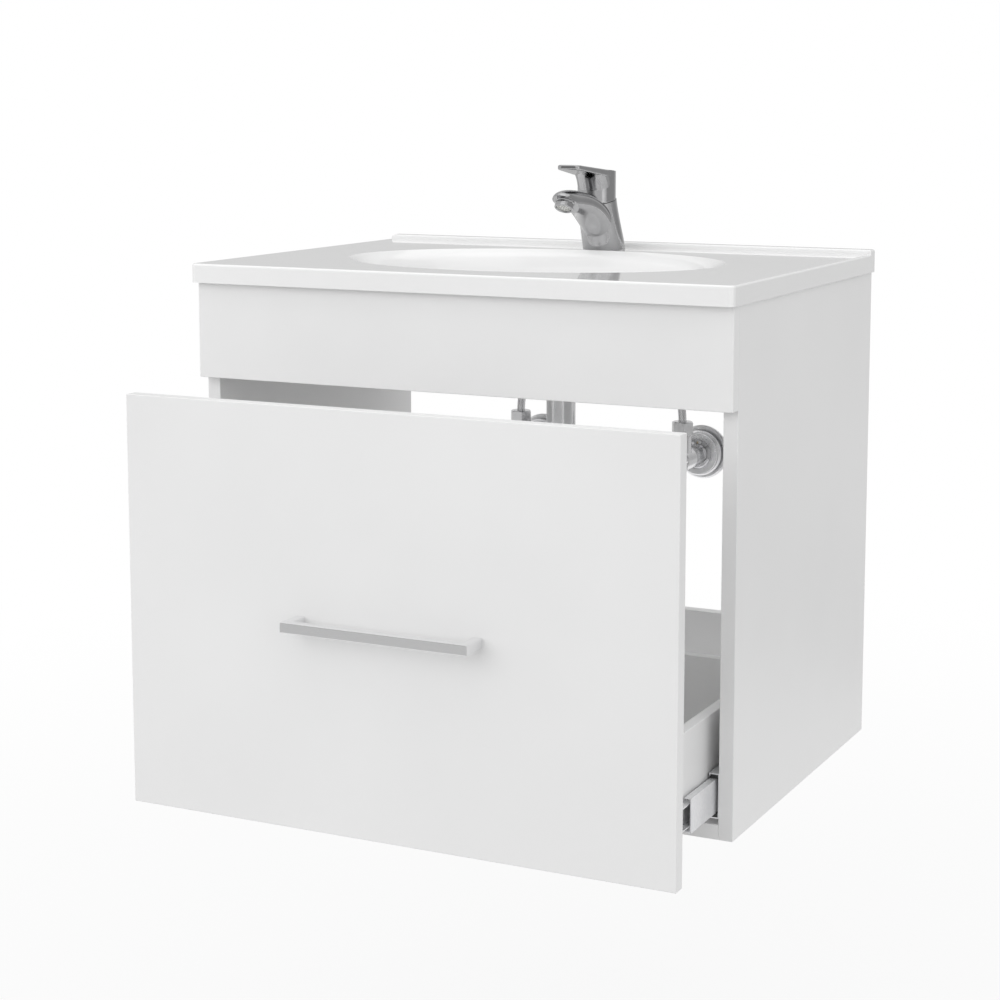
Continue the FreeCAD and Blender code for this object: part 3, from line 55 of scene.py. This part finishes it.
lens = bpy.data.cameras.new("photo_camera")
lens.sensor_width = SENSOR
lens.lens = FOCAL_PIXELS / PHOTO_SIDE * SENSOR
lens.shift_x = CAMERA_SHIFT_X
lens.shift_y = CAMERA_SHIFT_Y
camera = bpy.data.objects.new("photo_camera", lens)
camera.location = CAMERA_PLACE
look = Vector((-math.sin(CAMERA_TURN) * math.cos(CAMERA_DIP),
               math.cos(CAMERA_TURN) * math.cos(CAMERA_DIP), -math.sin(CAMERA_DIP)))
camera.rotation_euler = look.to_track_quat("-Z", "Y").to_euler()
scene.collection.objects.link(camera)
scene.camera = camera
scene.view_settings.view_transform = "Standard"


# Materials
# The noise masks lie mostly between these two values.
MASK_LOW = 0.3
MASK_HIGH = 0.7
# Turns of the hose's braid along and around its map, and where its wires start and end on the weave mask.
BRAID_ALONG = 69.0
BRAID_AROUND = 12.0
BRAID_GAP = 0.02
BRAID_WIRE = 0.32
# Shares of a chrome's light that its clean and its smudged patches send back, for red, green and blue.
CLEAN_CHROME = (1.0, 1.0, 1.01)
SMUDGED_CHROME = (0.95, 0.95, 0.965)


def new_group(name, inputs, outputs):
    """An empty shader group with its sockets; inputs map a name to its default value."""
    group = bpy.data.node_groups.new(name, "ShaderNodeTree")
    for label, value in inputs.items():
        socket = group.interface.new_socket(label, in_out="INPUT", socket_type="NodeSocketFloat")
        socket.default_value = value
    for label, kind in outputs.items():
        group.interface.new_socket(label, in_out="OUTPUT", socket_type=kind)
    entry = group.nodes.new("NodeGroupInput")
    leave = group.nodes.new("NodeGroupOutput")
    return group, entry, leave


def math_node(tree, operation, first, second):
    """A maths node on two sockets or plain numbers; gives back its result socket."""
    step = tree.nodes.new("ShaderNodeMath")
    step.operation = operation
    for slot_at, value in enumerate((first, second)):
        if isinstance(value, (int, float)):
            step.inputs[slot_at].default_value = value
        else:
            tree.links.new(value, step.inputs[slot_at])
    return step.outputs[0]


def range_node(tree, value, source, target, blend="LINEAR"):
    """Maps a socket from one (low, high) pair onto another; gives back its result socket."""
    remap = tree.nodes.new("ShaderNodeMapRange")
    remap.interpolation_type = blend
    for label, limit in zip(("From Min", "From Max", "To Min", "To Max"), (*source, *target)):
        remap.inputs[label].default_value = limit
    tree.links.new(value, remap.inputs["Value"])
    return remap.outputs["Result"]


def ramp_node(tree, value, stops):
    """Colours along a socket's value, from (position, colour) pairs; gives back its colour socket."""
    ramp = tree.nodes.new("ShaderNodeValToRGB")
    elements = ramp.color_ramp.elements
    while len(elements) < len(stops):
        elements.new(1.0)
    for element, (position, colour) in zip(elements, stops):
        element.position = position
        element.color = (*colour, 1.0)
    tree.links.new(value, ramp.inputs["Fac"])
    return ramp.outputs["Color"]


def make_orange_peel():
    """Fine waviness of a lacquered, foiled or glazed face: a height and a slow blotch mask."""
    group, entry, leave = new_group(
        "orange_peel", {"Grain Scale": 700.0, "Blotch Scale": 6.0},
        {"Height": "NodeSocketFloat", "Blotch": "NodeSocketFloat"})
    where = group.nodes.new("ShaderNodeTexCoord")
    grain = group.nodes.new("ShaderNodeTexNoise")
    grain.inputs["Detail"].default_value = 2.0
    blotch = group.nodes.new("ShaderNodeTexNoise")
    blotch.inputs["Detail"].default_value = 3.0
    for texture, label in ((grain, "Grain Scale"), (blotch, "Blotch Scale")):
        group.links.new(where.outputs["Object"], texture.inputs["Vector"])
        group.links.new(entry.outputs[label], texture.inputs["Scale"])
    group.links.new(grain.outputs["Fac"], leave.inputs["Height"])
    group.links.new(blotch.outputs["Fac"], leave.inputs["Blotch"])
    return group


def make_brushed():
    """Fine lines drawn along one axis by a stretched noise: a height and a mask of the lines."""
    group, entry, leave = new_group(
        "brushed_lines", {"Line Scale": 900.0, "Along X": 0.02, "Along Y": 1.0, "Along Z": 1.0},
        {"Lines": "NodeSocketFloat"})
    where = group.nodes.new("ShaderNodeTexCoord")
    stretch = group.nodes.new("ShaderNodeCombineXYZ")
    for axis in "XYZ":
        group.links.new(entry.outputs[f"Along {axis}"], stretch.inputs[axis])
    drawn = group.nodes.new("ShaderNodeVectorMath")
    drawn.operation = "MULTIPLY"
    group.links.new(where.outputs["Object"], drawn.inputs[0])
    group.links.new(stretch.outputs[0], drawn.inputs[1])
    lines = group.nodes.new("ShaderNodeTexNoise")
    lines.inputs["Detail"].default_value = 3.0
    group.links.new(drawn.outputs[0], lines.inputs["Vector"])
    group.links.new(entry.outputs["Line Scale"], lines.inputs["Scale"])
    group.links.new(lines.outputs["Fac"], leave.inputs["Lines"])
    return group


def make_smudge():
    """Slow cloudy patches with a few finer ones, as water marks and handling leave on metal."""
    group, entry, leave = new_group(
        "smudge", {"Patch Scale": 25.0, "Fine Scale": 180.0},
        {"Smudge": "NodeSocketFloat"})
    where = group.nodes.new("ShaderNodeTexCoord")
    found = []
    for label in ("Patch Scale", "Fine Scale"):
        cloud = group.nodes.new("ShaderNodeTexNoise")
        cloud.inputs["Detail"].default_value = 4.0
        group.links.new(where.outputs["Object"], cloud.inputs["Vector"])
        group.links.new(entry.outputs[label], cloud.inputs["Scale"])
        found.append(cloud.outputs["Fac"])
    both = math_node(group, "MULTIPLY", found[0], found[1])
    # Both masks lie round one half, so doubling brings their product back there.
    doubled = math_node(group, "MULTIPLY", both, 2.0)
    group.links.new(doubled, leave.inputs["Smudge"])
    return group


ORANGE_PEEL = make_orange_peel()
BRUSHED = make_brushed()
SMUDGE = make_smudge()


class Finish:
    """A material with a Principled shader, and short ways to drive its sockets from masks."""

    def __init__(self, name, **constants):
        self.material = bpy.data.materials.new(name)
        self.material.use_nodes = True
        self.tree = self.material.node_tree
        self.shader = self.tree.nodes["Principled BSDF"]
        for label, value in constants.items():
            self.shader.inputs[label.replace("_", " ")].default_value = value

    def group(self, group, **values):
        placed = self.tree.nodes.new("ShaderNodeGroup")
        placed.node_tree = group
        for label, value in values.items():
            placed.inputs[label.replace("_", " ")].default_value = value
        return placed.outputs

    def spread(self, mask, low, high, socket):
        """Maps a mask onto low to high, and feeds a value socket."""
        spread = range_node(self.tree, mask, (MASK_LOW, MASK_HIGH), (low, high))
        self.tree.links.new(spread, self.shader.inputs[socket])

    def tint(self, mask, first, second):
        """Base colour that goes from first to second with a mask."""
        self.ramp(mask, (MASK_LOW, first), (MASK_HIGH, second))

    def ramp(self, mask, *stops):
        """Base colour from a mask, with a (position, colour) pair for each end."""
        self.tree.links.new(ramp_node(self.tree, mask, stops), self.shader.inputs["Base Color"])

    def bump(self, height, strength, distance):
        relief = self.tree.nodes.new("ShaderNodeBump")
        relief.inputs["Strength"].default_value = strength
        relief.inputs["Distance"].default_value = distance
        self.tree.links.new(height, relief.inputs["Height"])
        self.tree.links.new(relief.outputs["Normal"], self.shader.inputs["Normal"])


def make_white_melamine():
    finish = Finish("white_melamine")
    peel = finish.group(ORANGE_PEEL, Grain_Scale=650.0, Blotch_Scale=5.0)
    finish.tint(peel["Blotch"], (0.815, 0.815, 0.815), (0.84, 0.84, 0.84))
    finish.spread(peel["Blotch"], 0.30, 0.38, "Roughness")
    finish.bump(peel["Height"], strength=0.05, distance=0.0003)
    return finish.material


def make_white_hardboard():
    finish = Finish("white_hardboard")
    peel = finish.group(ORANGE_PEEL, Grain_Scale=320.0, Blotch_Scale=14.0)
    finish.tint(peel["Blotch"], (0.84, 0.84, 0.835), (0.88, 0.88, 0.875))
    finish.spread(peel["Blotch"], 0.45, 0.6, "Roughness")
    finish.bump(peel["Height"], strength=0.15, distance=0.0004)
    return finish.material


def make_sink_glaze():
    finish = Finish("sink_glaze", Coat_Weight=1.0, Coat_Roughness=0.03)
    peel = finish.group(ORANGE_PEEL, Grain_Scale=60.0, Blotch_Scale=3.0)
    finish.tint(peel["Blotch"], (0.88, 0.88, 0.88), (0.90, 0.90, 0.90))
    finish.spread(peel["Blotch"], 0.08, 0.13, "Roughness")
    finish.bump(peel["Height"], strength=0.02, distance=0.0004)
    return finish.material


def make_chrome(name, light, roughness=(0.09, 0.16)):
    finish = Finish(name, Metallic=1.0)
    smudge = finish.group(SMUDGE)
    clean, smudged = (tuple(light * share for share in shares)
                      for shares in (CLEAN_CHROME, SMUDGED_CHROME))
    finish.tint(smudge["Smudge"], clean, smudged)
    finish.spread(smudge["Smudge"], *roughness, "Roughness")
    return finish.material


def make_satin_aluminium():
    finish = Finish("satin_aluminium", Metallic=1.0)
    lines = finish.group(BRUSHED, Line_Scale=2600.0, Along_X=0.008)
    finish.tint(lines["Lines"], (0.86, 0.86, 0.865), (0.91, 0.91, 0.915))
    finish.spread(lines["Lines"], 0.16, 0.24, "Roughness")
    finish.bump(lines["Lines"], strength=0.03, distance=0.0001)
    return finish.material


def make_zinc():
    finish = Finish("zinc_plate", Metallic=1.0)
    smudge = finish.group(SMUDGE, Patch_Scale=60.0, Fine_Scale=420.0)
    finish.tint(smudge["Smudge"], (0.60, 0.61, 0.63), (0.72, 0.72, 0.72))
    finish.spread(smudge["Smudge"], 0.26, 0.42, "Roughness")
    return finish.material


def make_rolled_zinc():
    """Sheet steel of the slides: rolling lines run along the rails, under patchy zinc."""
    finish = Finish("rolled_zinc", Metallic=0.55)
    lines = finish.group(BRUSHED, Line_Scale=1900.0, Along_X=1.0, Along_Y=0.01)
    smudge = finish.group(SMUDGE, Patch_Scale=40.0, Fine_Scale=300.0)
    finish.tint(smudge["Smudge"], (0.78, 0.785, 0.80), (0.85, 0.85, 0.86))
    finish.spread(lines["Lines"], 0.28, 0.36, "Roughness")
    finish.bump(lines["Lines"], strength=0.03, distance=0.0001)
    return finish.material


def make_steel_braid():
    """Woven steel wire of the hoses: two crossing sets of bands on the hose's own map, with painted shade in
    the gaps between the bands.
    """
    finish = Finish("steel_braid", Metallic=1.0, Roughness=0.22)
    tree = finish.tree
    where = tree.nodes.new("ShaderNodeTexCoord")
    parts = tree.nodes.new("ShaderNodeSeparateXYZ")
    tree.links.new(where.outputs["UV"], parts.inputs[0])
    along = math_node(tree, "MULTIPLY", parts.outputs["X"], BRAID_ALONG)
    around = math_node(tree, "MULTIPLY", parts.outputs["Y"], BRAID_AROUND)
    bands = []
    for operation in ("ADD", "SUBTRACT"):
        turn = math_node(tree, operation, along, around)
        # A wave from 0 to 1 and back for each turn.
        wave = math_node(tree, "PINGPONG", turn, 0.5)
        bands.append(math_node(tree, "MULTIPLY", wave, 2.0))
    weave = math_node(tree, "MULTIPLY", bands[0], bands[1])
    # The colour goes darker from the wire crowns into the gaps between the bands: painted shade between the
    # wires.
    finish.ramp(weave, (BRAID_GAP, (0.62, 0.62, 0.63)), (BRAID_WIRE, (0.93, 0.93, 0.94)))
    finish.bump(weave, strength=0.25, distance=0.0003)
    return finish.material


def make_plain(name, first, second, roughness, grain_scale, metallic=0.0):
    finish = Finish(name, Metallic=metallic)
    peel = finish.group(ORANGE_PEEL, Grain_Scale=grain_scale, Blotch_Scale=40.0)
    finish.tint(peel["Blotch"], first, second)
    finish.spread(peel["Blotch"], *roughness, "Roughness")
    finish.bump(peel["Height"], strength=0.12, distance=0.0002)
    return finish.material


def make_beech():
    finish = Finish("beech", Roughness=0.6)
    lines = finish.group(BRUSHED, Line_Scale=500.0, Along_X=0.05)
    finish.tint(lines["Lines"], (0.52, 0.33, 0.18), (0.68, 0.48, 0.29))
    finish.bump(lines["Lines"], strength=0.2, distance=0.0003)
    return finish.material


RAILS = ("outer_rails", "middle_rails", "inner_rails")
PLUMBING = ("trap_inlet_tube", "trap_bottle", "trap_cup", "trap_outlet_tube", "trap_wall_flange",
            "trap_nuts", "valve_body_left", "valve_body_right", "valve_knob_left", "valve_knob_right",
            "hose_nuts")
# The plumbing chrome in the cabinet gets light tones, 0.86 and 0.96 on the flanges: painted light against the
# cabinet's shade.
PLUMBING_CHROME = make_chrome("plumbing_chrome", light=0.86)
SATIN_CHROME = make_chrome("satin_chrome", light=0.96, roughness=(0.26, 0.34))
FINISHES = {
    "white_board": make_white_melamine(),
    "white_sheet": make_white_hardboard(),
    "dowel_wood": make_beech(),
    "sink_white": make_sink_glaze(),
    # The tap's chrome gets a dark tone of 0.48: painted shade for the darker surroundings that it reflects.
    "chrome": make_chrome("polished_chrome", light=0.48),
    "handle_metal": make_satin_aluminium(),
    "zinc_steel": make_zinc(),
    "braid": make_steel_braid(),
    "brass": make_plain("plain_brass", (0.66, 0.50, 0.24), (0.76, 0.60, 0.30),
                        roughness=(0.22, 0.34), grain_scale=900.0, metallic=1.0),
    "black_plastic": make_plain("black_nylon", (0.012, 0.012, 0.013), (0.022, 0.022, 0.023),
                                roughness=(0.38, 0.5), grain_scale=1500.0),
    "cartridge_plastic": make_plain("pale_plastic", (0.70, 0.70, 0.67), (0.76, 0.76, 0.73),
                                    roughness=(0.3, 0.4), grain_scale=900.0),
    "gasket_rubber": make_plain("black_rubber", (0.015, 0.015, 0.015), (0.03, 0.03, 0.03),
                                roughness=(0.6, 0.75), grain_scale=1200.0),
}
# Nodes whose finish differs from that of their slot.
OWN_FINISH = {"valve_flanges": SATIN_CHROME}
OWN_FINISH.update(dict.fromkeys(RAILS, make_rolled_zinc()))
OWN_FINISH.update(dict.fromkeys(PLUMBING, PLUMBING_CHROME))
for row in frame["record"]["subparts"]:
    piece = nodes[row["node"]]
    piece.data.materials.clear()
    piece.data.materials.append(OWN_FINISH.get(row["node"], FINISHES[row["material_slot"]]))

# Front ring and dished cup of each valve's wall flange, turned round the valve's barrel.
VALVE_X = 0.101
VALVE_Z = 0.040
FLANGE_FACE = -0.01495
TURNED_SIDES = 64
RING_ROUNDING = 0.0006
RING_EDGE_ANGLE = math.radians(25.0)
RING_SMOOTH_ANGLE = math.radians(35.0)
# A face counts as front or back when its normal lies this far along y.
FACING = 0.9


def pick_faces(piece, test):
    """In edit mode, selects only the faces whose normal passes the test."""
    bpy.ops.mesh.select_mode(type="FACE")
    bpy.ops.mesh.select_all(action="DESELECT")
    shape = bmesh.from_edit_mesh(piece.data)
    for face in shape.faces:
        if test(face.normal):
            face.select_set(True)
    bmesh.update_edit_mesh(piece.data)


def add_turned_ring(name, radius, depth, front_steps, finish):
    """A ring on the right flange's face: (inset, sink) steps lead its front in to the bore."""
    bpy.ops.object.select_all(action="DESELECT")
    bpy.ops.mesh.primitive_cylinder_add(vertices=TURNED_SIDES, radius=radius, depth=depth,
                                        location=(VALVE_X, FLANGE_FACE - depth / 2, VALVE_Z),
                                        rotation=(math.pi / 2, 0.0, 0.0))
    ring = bpy.context.active_object
    ring.name = name
    bpy.ops.object.transform_apply(location=True, rotation=True, scale=True)
    bpy.ops.object.mode_set(mode="EDIT")
    pick_faces(ring, lambda normal: normal.y < -FACING)
    for inset, sink in front_steps:
        bpy.ops.mesh.inset(thickness=inset)
        bpy.ops.transform.translate(value=(0.0, sink, 0.0))
    bpy.ops.mesh.delete(type="FACE")
    pick_faces(ring, lambda normal: normal.y > FACING)
    bpy.ops.mesh.inset(thickness=sum(inset for inset, _ in front_steps))
    bpy.ops.mesh.delete(type="FACE")
    bpy.ops.mesh.select_mode(type="EDGE")
    bpy.ops.mesh.select_non_manifold()
    bpy.ops.mesh.bridge_edge_loops()
    bpy.ops.mesh.select_all(action="SELECT")
    bpy.ops.mesh.normals_make_consistent(inside=False)
    bpy.ops.object.mode_set(mode="OBJECT")
    rounding = ring.modifiers.new("rounded_edges", "BEVEL")
    rounding.width = RING_ROUNDING
    rounding.segments = 3
    rounding.limit_method = "ANGLE"
    rounding.angle_limit = RING_EDGE_ANGLE
    bpy.ops.object.modifier_apply(modifier=rounding.name)
    bpy.ops.object.shade_smooth_by_angle(angle=RING_SMOOTH_ANGLE)
    ring.data.materials.append(finish)
    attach(ring, "cabinet")
    return ring


def copy_to_left_valve(ring, name):
    """The same ring on the other valve, with a mesh of its own."""
    twin = ring.copy()
    twin.data = ring.data.copy()
    twin.name = name
    scene.collection.objects.link(twin)
    bpy.ops.object.select_all(action="DESELECT")
    twin.select_set(True)
    bpy.context.view_layer.objects.active = twin
    bpy.ops.transform.translate(value=(-2.0 * VALVE_X, 0.0, 0.0))
    bpy.ops.object.transform_apply(location=True, rotation=True, scale=True)
    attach(twin, "cabinet")


RING_RADIUS = 0.0238
RING_DEPTH = 0.0040
RING_STEPS = ((0.0063, 0.0),)
CUP_RADIUS = 0.0174
CUP_DEPTH = 0.0032
CUP_STEPS = ((0.00035, 0.0), (0.0011, 0.0012), (0.0016, 0.0009), (0.0031, 0.0005))
flange_ring = add_turned_ring("flange_ring_right", RING_RADIUS, RING_DEPTH, RING_STEPS, SATIN_CHROME)
flange_cup = add_turned_ring("flange_cup_right", CUP_RADIUS, CUP_DEPTH, CUP_STEPS, PLUMBING_CHROME)
copy_to_left_valve(flange_ring, "flange_ring_left")
copy_to_left_valve(flange_cup, "flange_cup_left")

# Hoses: each follows one smooth line from the tap's stem to its angle valve. The route is in millimetres.
HOSE_DIAMETER = 0.009
MM_PER_M = 1000
HOSE_ROUTE = ((8, -53, 235), (8, -53, 202.24), (30.32, -55.88, 169.48), (78.68, -62.12, 144.52),
              (101, -65, 111.76), (101, -65, 79))


def add_hose(name, side):
    """The hose on one side of the tap: side is 1 for right and -1 for left."""
    route = [(side * x / MM_PER_M, y / MM_PER_M, z / MM_PER_M) for x, y, z in HOSE_ROUTE]
    path = bpy.data.curves.new(name, "CURVE")
    path.dimensions = "3D"
    path.bevel_depth = HOSE_DIAMETER / 2
    path.bevel_resolution = 6
    path.resolution_u = 24
    path.use_fill_caps = True
    spline = path.splines.new("NURBS")
    spline.points.add(len(route) - 1)
    for point, place in zip(spline.points, route):
        point.co = (*place, 1.0)
    spline.order_u = 3
    spline.use_endpoint_u = True
    hose = bpy.data.objects.new(name + "_braid", path)
    scene.collection.objects.link(hose)
    path.materials.append(FINISHES["braid"])
    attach(hose, "cabinet")
    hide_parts(name)


add_hose("hose_left", -1)
add_hose("hose_right", 1)

# Floor, light and background.
FLOOR_LEVEL = -0.60
FLOOR_SIZE = 30.0
FLOOR_PAINT = 0.52
# Near the object this share of the floor is white glow and the rest is paint; further out it is all glow.
FLOOR_GLOW = 0.9
FLOOR_FADE = 2.2
# Mirror images see the floor turn grey from this distance on.
FLOOR_GREY_FROM = 1.3
FLOOR_GREY_TO = 1.8
FLOOR_GREY = 0.55
bpy.ops.object.select_all(action="DESELECT")
bpy.ops.mesh.primitive_plane_add(size=FLOOR_SIZE, location=(0.0, 0.0, FLOOR_LEVEL))
floor = bpy.context.active_object
floor.name = "studio_floor"


def seen_rays(tree):
    """A Light Path node, and 1 for rays of the eye, of mirror images and through glass."""
    rays = tree.nodes.new("ShaderNodeLightPath")
    seen = math_node(tree, "MAXIMUM", rays.outputs["Is Camera Ray"], rays.outputs["Is Glossy Ray"])
    return rays, math_node(tree, "MAXIMUM", seen, rays.outputs["Is Transmission Ray"])


def bare_material(name):
    """A material with an output node only; gives back it, its node tree and its surface socket."""
    paint = bpy.data.materials.new(name)
    paint.use_nodes = True
    tree = paint.node_tree
    tree.nodes.clear()
    out = tree.nodes.new("ShaderNodeOutputMaterial")
    return paint, tree, out.inputs["Surface"]


def make_floor_paint():
    """White for the eye and its mirror images, with a share of plain paint that keeps the shadow."""
    paint, tree, surface = bare_material("floor_paint")
    mixer = tree.nodes.new("ShaderNodeMixShader")
    coat = tree.nodes.new("ShaderNodeBsdfDiffuse")
    coat.inputs["Color"].default_value = (FLOOR_PAINT, FLOOR_PAINT, FLOOR_PAINT, 1.0)
    glow = tree.nodes.new("ShaderNodeEmission")
    rays, seen = seen_rays(tree)
    where = tree.nodes.new("ShaderNodeTexCoord")
    away = tree.nodes.new("ShaderNodeVectorMath")
    away.operation = "LENGTH"
    tree.links.new(where.outputs["Object"], away.inputs[0])
    fade = range_node(tree, away.outputs["Value"], (0.0, FLOOR_FADE), (FLOOR_GLOW, 1.0), "SMOOTHSTEP")
    share = math_node(tree, "MULTIPLY", seen, fade)
    grey = range_node(tree, away.outputs["Value"], (FLOOR_GREY_FROM, FLOOR_GREY_TO),
                      (0.0, 1.0 - FLOOR_GREY), "SMOOTHSTEP")
    mirrored = math_node(tree, "MULTIPLY", rays.outputs["Is Glossy Ray"], grey)
    tree.links.new(math_node(tree, "SUBTRACT", 1.0, mirrored), glow.inputs["Strength"])
    tree.links.new(share, mixer.inputs["Fac"])
    tree.links.new(coat.outputs[0], mixer.inputs[1])
    tree.links.new(glow.outputs[0], mixer.inputs[2])
    tree.links.new(mixer.outputs[0], surface)
    return paint


floor.data.materials.append(make_floor_paint())

AMBIENT = 0.96
world = bpy.data.worlds.new("studio")
scene.world = world
world.use_nodes = True
sky = world.node_tree
sky.nodes.clear()
sky_out = sky.nodes.new("ShaderNodeOutputWorld")
plain = sky.nodes.new("ShaderNodeBackground")
plain.inputs["Color"].default_value = (1.0, 1.0, 1.0, 1.0)
_, sky_seen = seen_rays(sky)
level = math_node(sky, "MULTIPLY", sky_seen, 1.0 - AMBIENT)
level = math_node(sky, "ADD", level, AMBIENT)
sky.links.new(level, plain.inputs["Strength"])
sky.links.new(plain.outputs[0], sky_out.inputs["Surface"])


def add_softbox(name, place, aim, width, height, watts, mirrored=True):
    """A soft rectangular lamp; mirrored tells whether glossy surfaces show it."""
    lamp = bpy.data.lights.new(name, "AREA")
    lamp.shape = "RECTANGLE"
    lamp.size = width
    lamp.size_y = height
    lamp.energy = watts
    box = bpy.data.objects.new(name, lamp)
    box.location = place
    box.rotation_euler = (Vector(aim) - Vector(place)).to_track_quat("-Z", "Y").to_euler()
    box.visible_glossy = mirrored
    scene.collection.objects.link(box)


add_softbox("front_light", place=(-0.9, -3.4, 1.3), aim=(0.0, -0.4, 0.2),
            width=2.6, height=2.2, watts=24.5, mirrored=False)
# From behind, to fill the open cabinet.
add_softbox("back_light", place=(0.3, 3.2, 0.5), aim=(0.0, -0.3, 0.0),
            width=2.4, height=2.0, watts=20.0, mirrored=False)
add_softbox("side_light", place=(3.2, -1.2, 0.8), aim=(0.0, -0.3, 0.0),
            width=1.8, height=1.8, watts=4.5)
add_softbox("top_light", place=(0.0, -0.9, 3.0), aim=(0.0, -0.4, 0.0),
            width=2.2, height=2.2, watts=5.0)

# A studio wall round the object, met by mirror images only. Its grey panels give glaze and chrome their tone.
WALL_SIDES = 96
WALL_RADIUS = 7.0
WALL_HEIGHT = 9.0
# Tone of the wall by the share of the way round: from the left over the front, the right and the back.
WALL_PANELS = ((0.0, 0.72), (0.14, 0.72), (0.16, 0.28), (0.27, 0.28), (0.29, 0.75), (0.44, 0.75),
               (0.46, 0.42), (0.68, 0.42), (0.71, 0.61), (0.92, 0.61), (0.95, 0.72))
bpy.ops.object.select_all(action="DESELECT")
bpy.ops.mesh.primitive_cylinder_add(vertices=WALL_SIDES, radius=WALL_RADIUS, depth=WALL_HEIGHT,
                                    end_fill_type="NOTHING",
                                    location=(0.0, 0.0, FLOOR_LEVEL + WALL_HEIGHT / 2))
wall = bpy.context.active_object
wall.name = "studio_wall"
wall.visible_camera = False
wall.visible_diffuse = False
wall.visible_shadow = False


def make_wall_paint():
    paint, tree, surface = bare_material("wall_paint")
    glow = tree.nodes.new("ShaderNodeEmission")
    where = tree.nodes.new("ShaderNodeTexCoord")
    round_way = tree.nodes.new("ShaderNodeTexGradient")
    round_way.gradient_type = "RADIAL"
    tree.links.new(where.outputs["Object"], round_way.inputs["Vector"])
    stops = [(share, (tone, tone, tone)) for share, tone in WALL_PANELS]
    tree.links.new(ramp_node(tree, round_way.outputs["Fac"], stops), glow.inputs["Color"])
    tree.links.new(glow.outputs[0], surface)
    return paint


wall.data.materials.append(make_wall_paint())
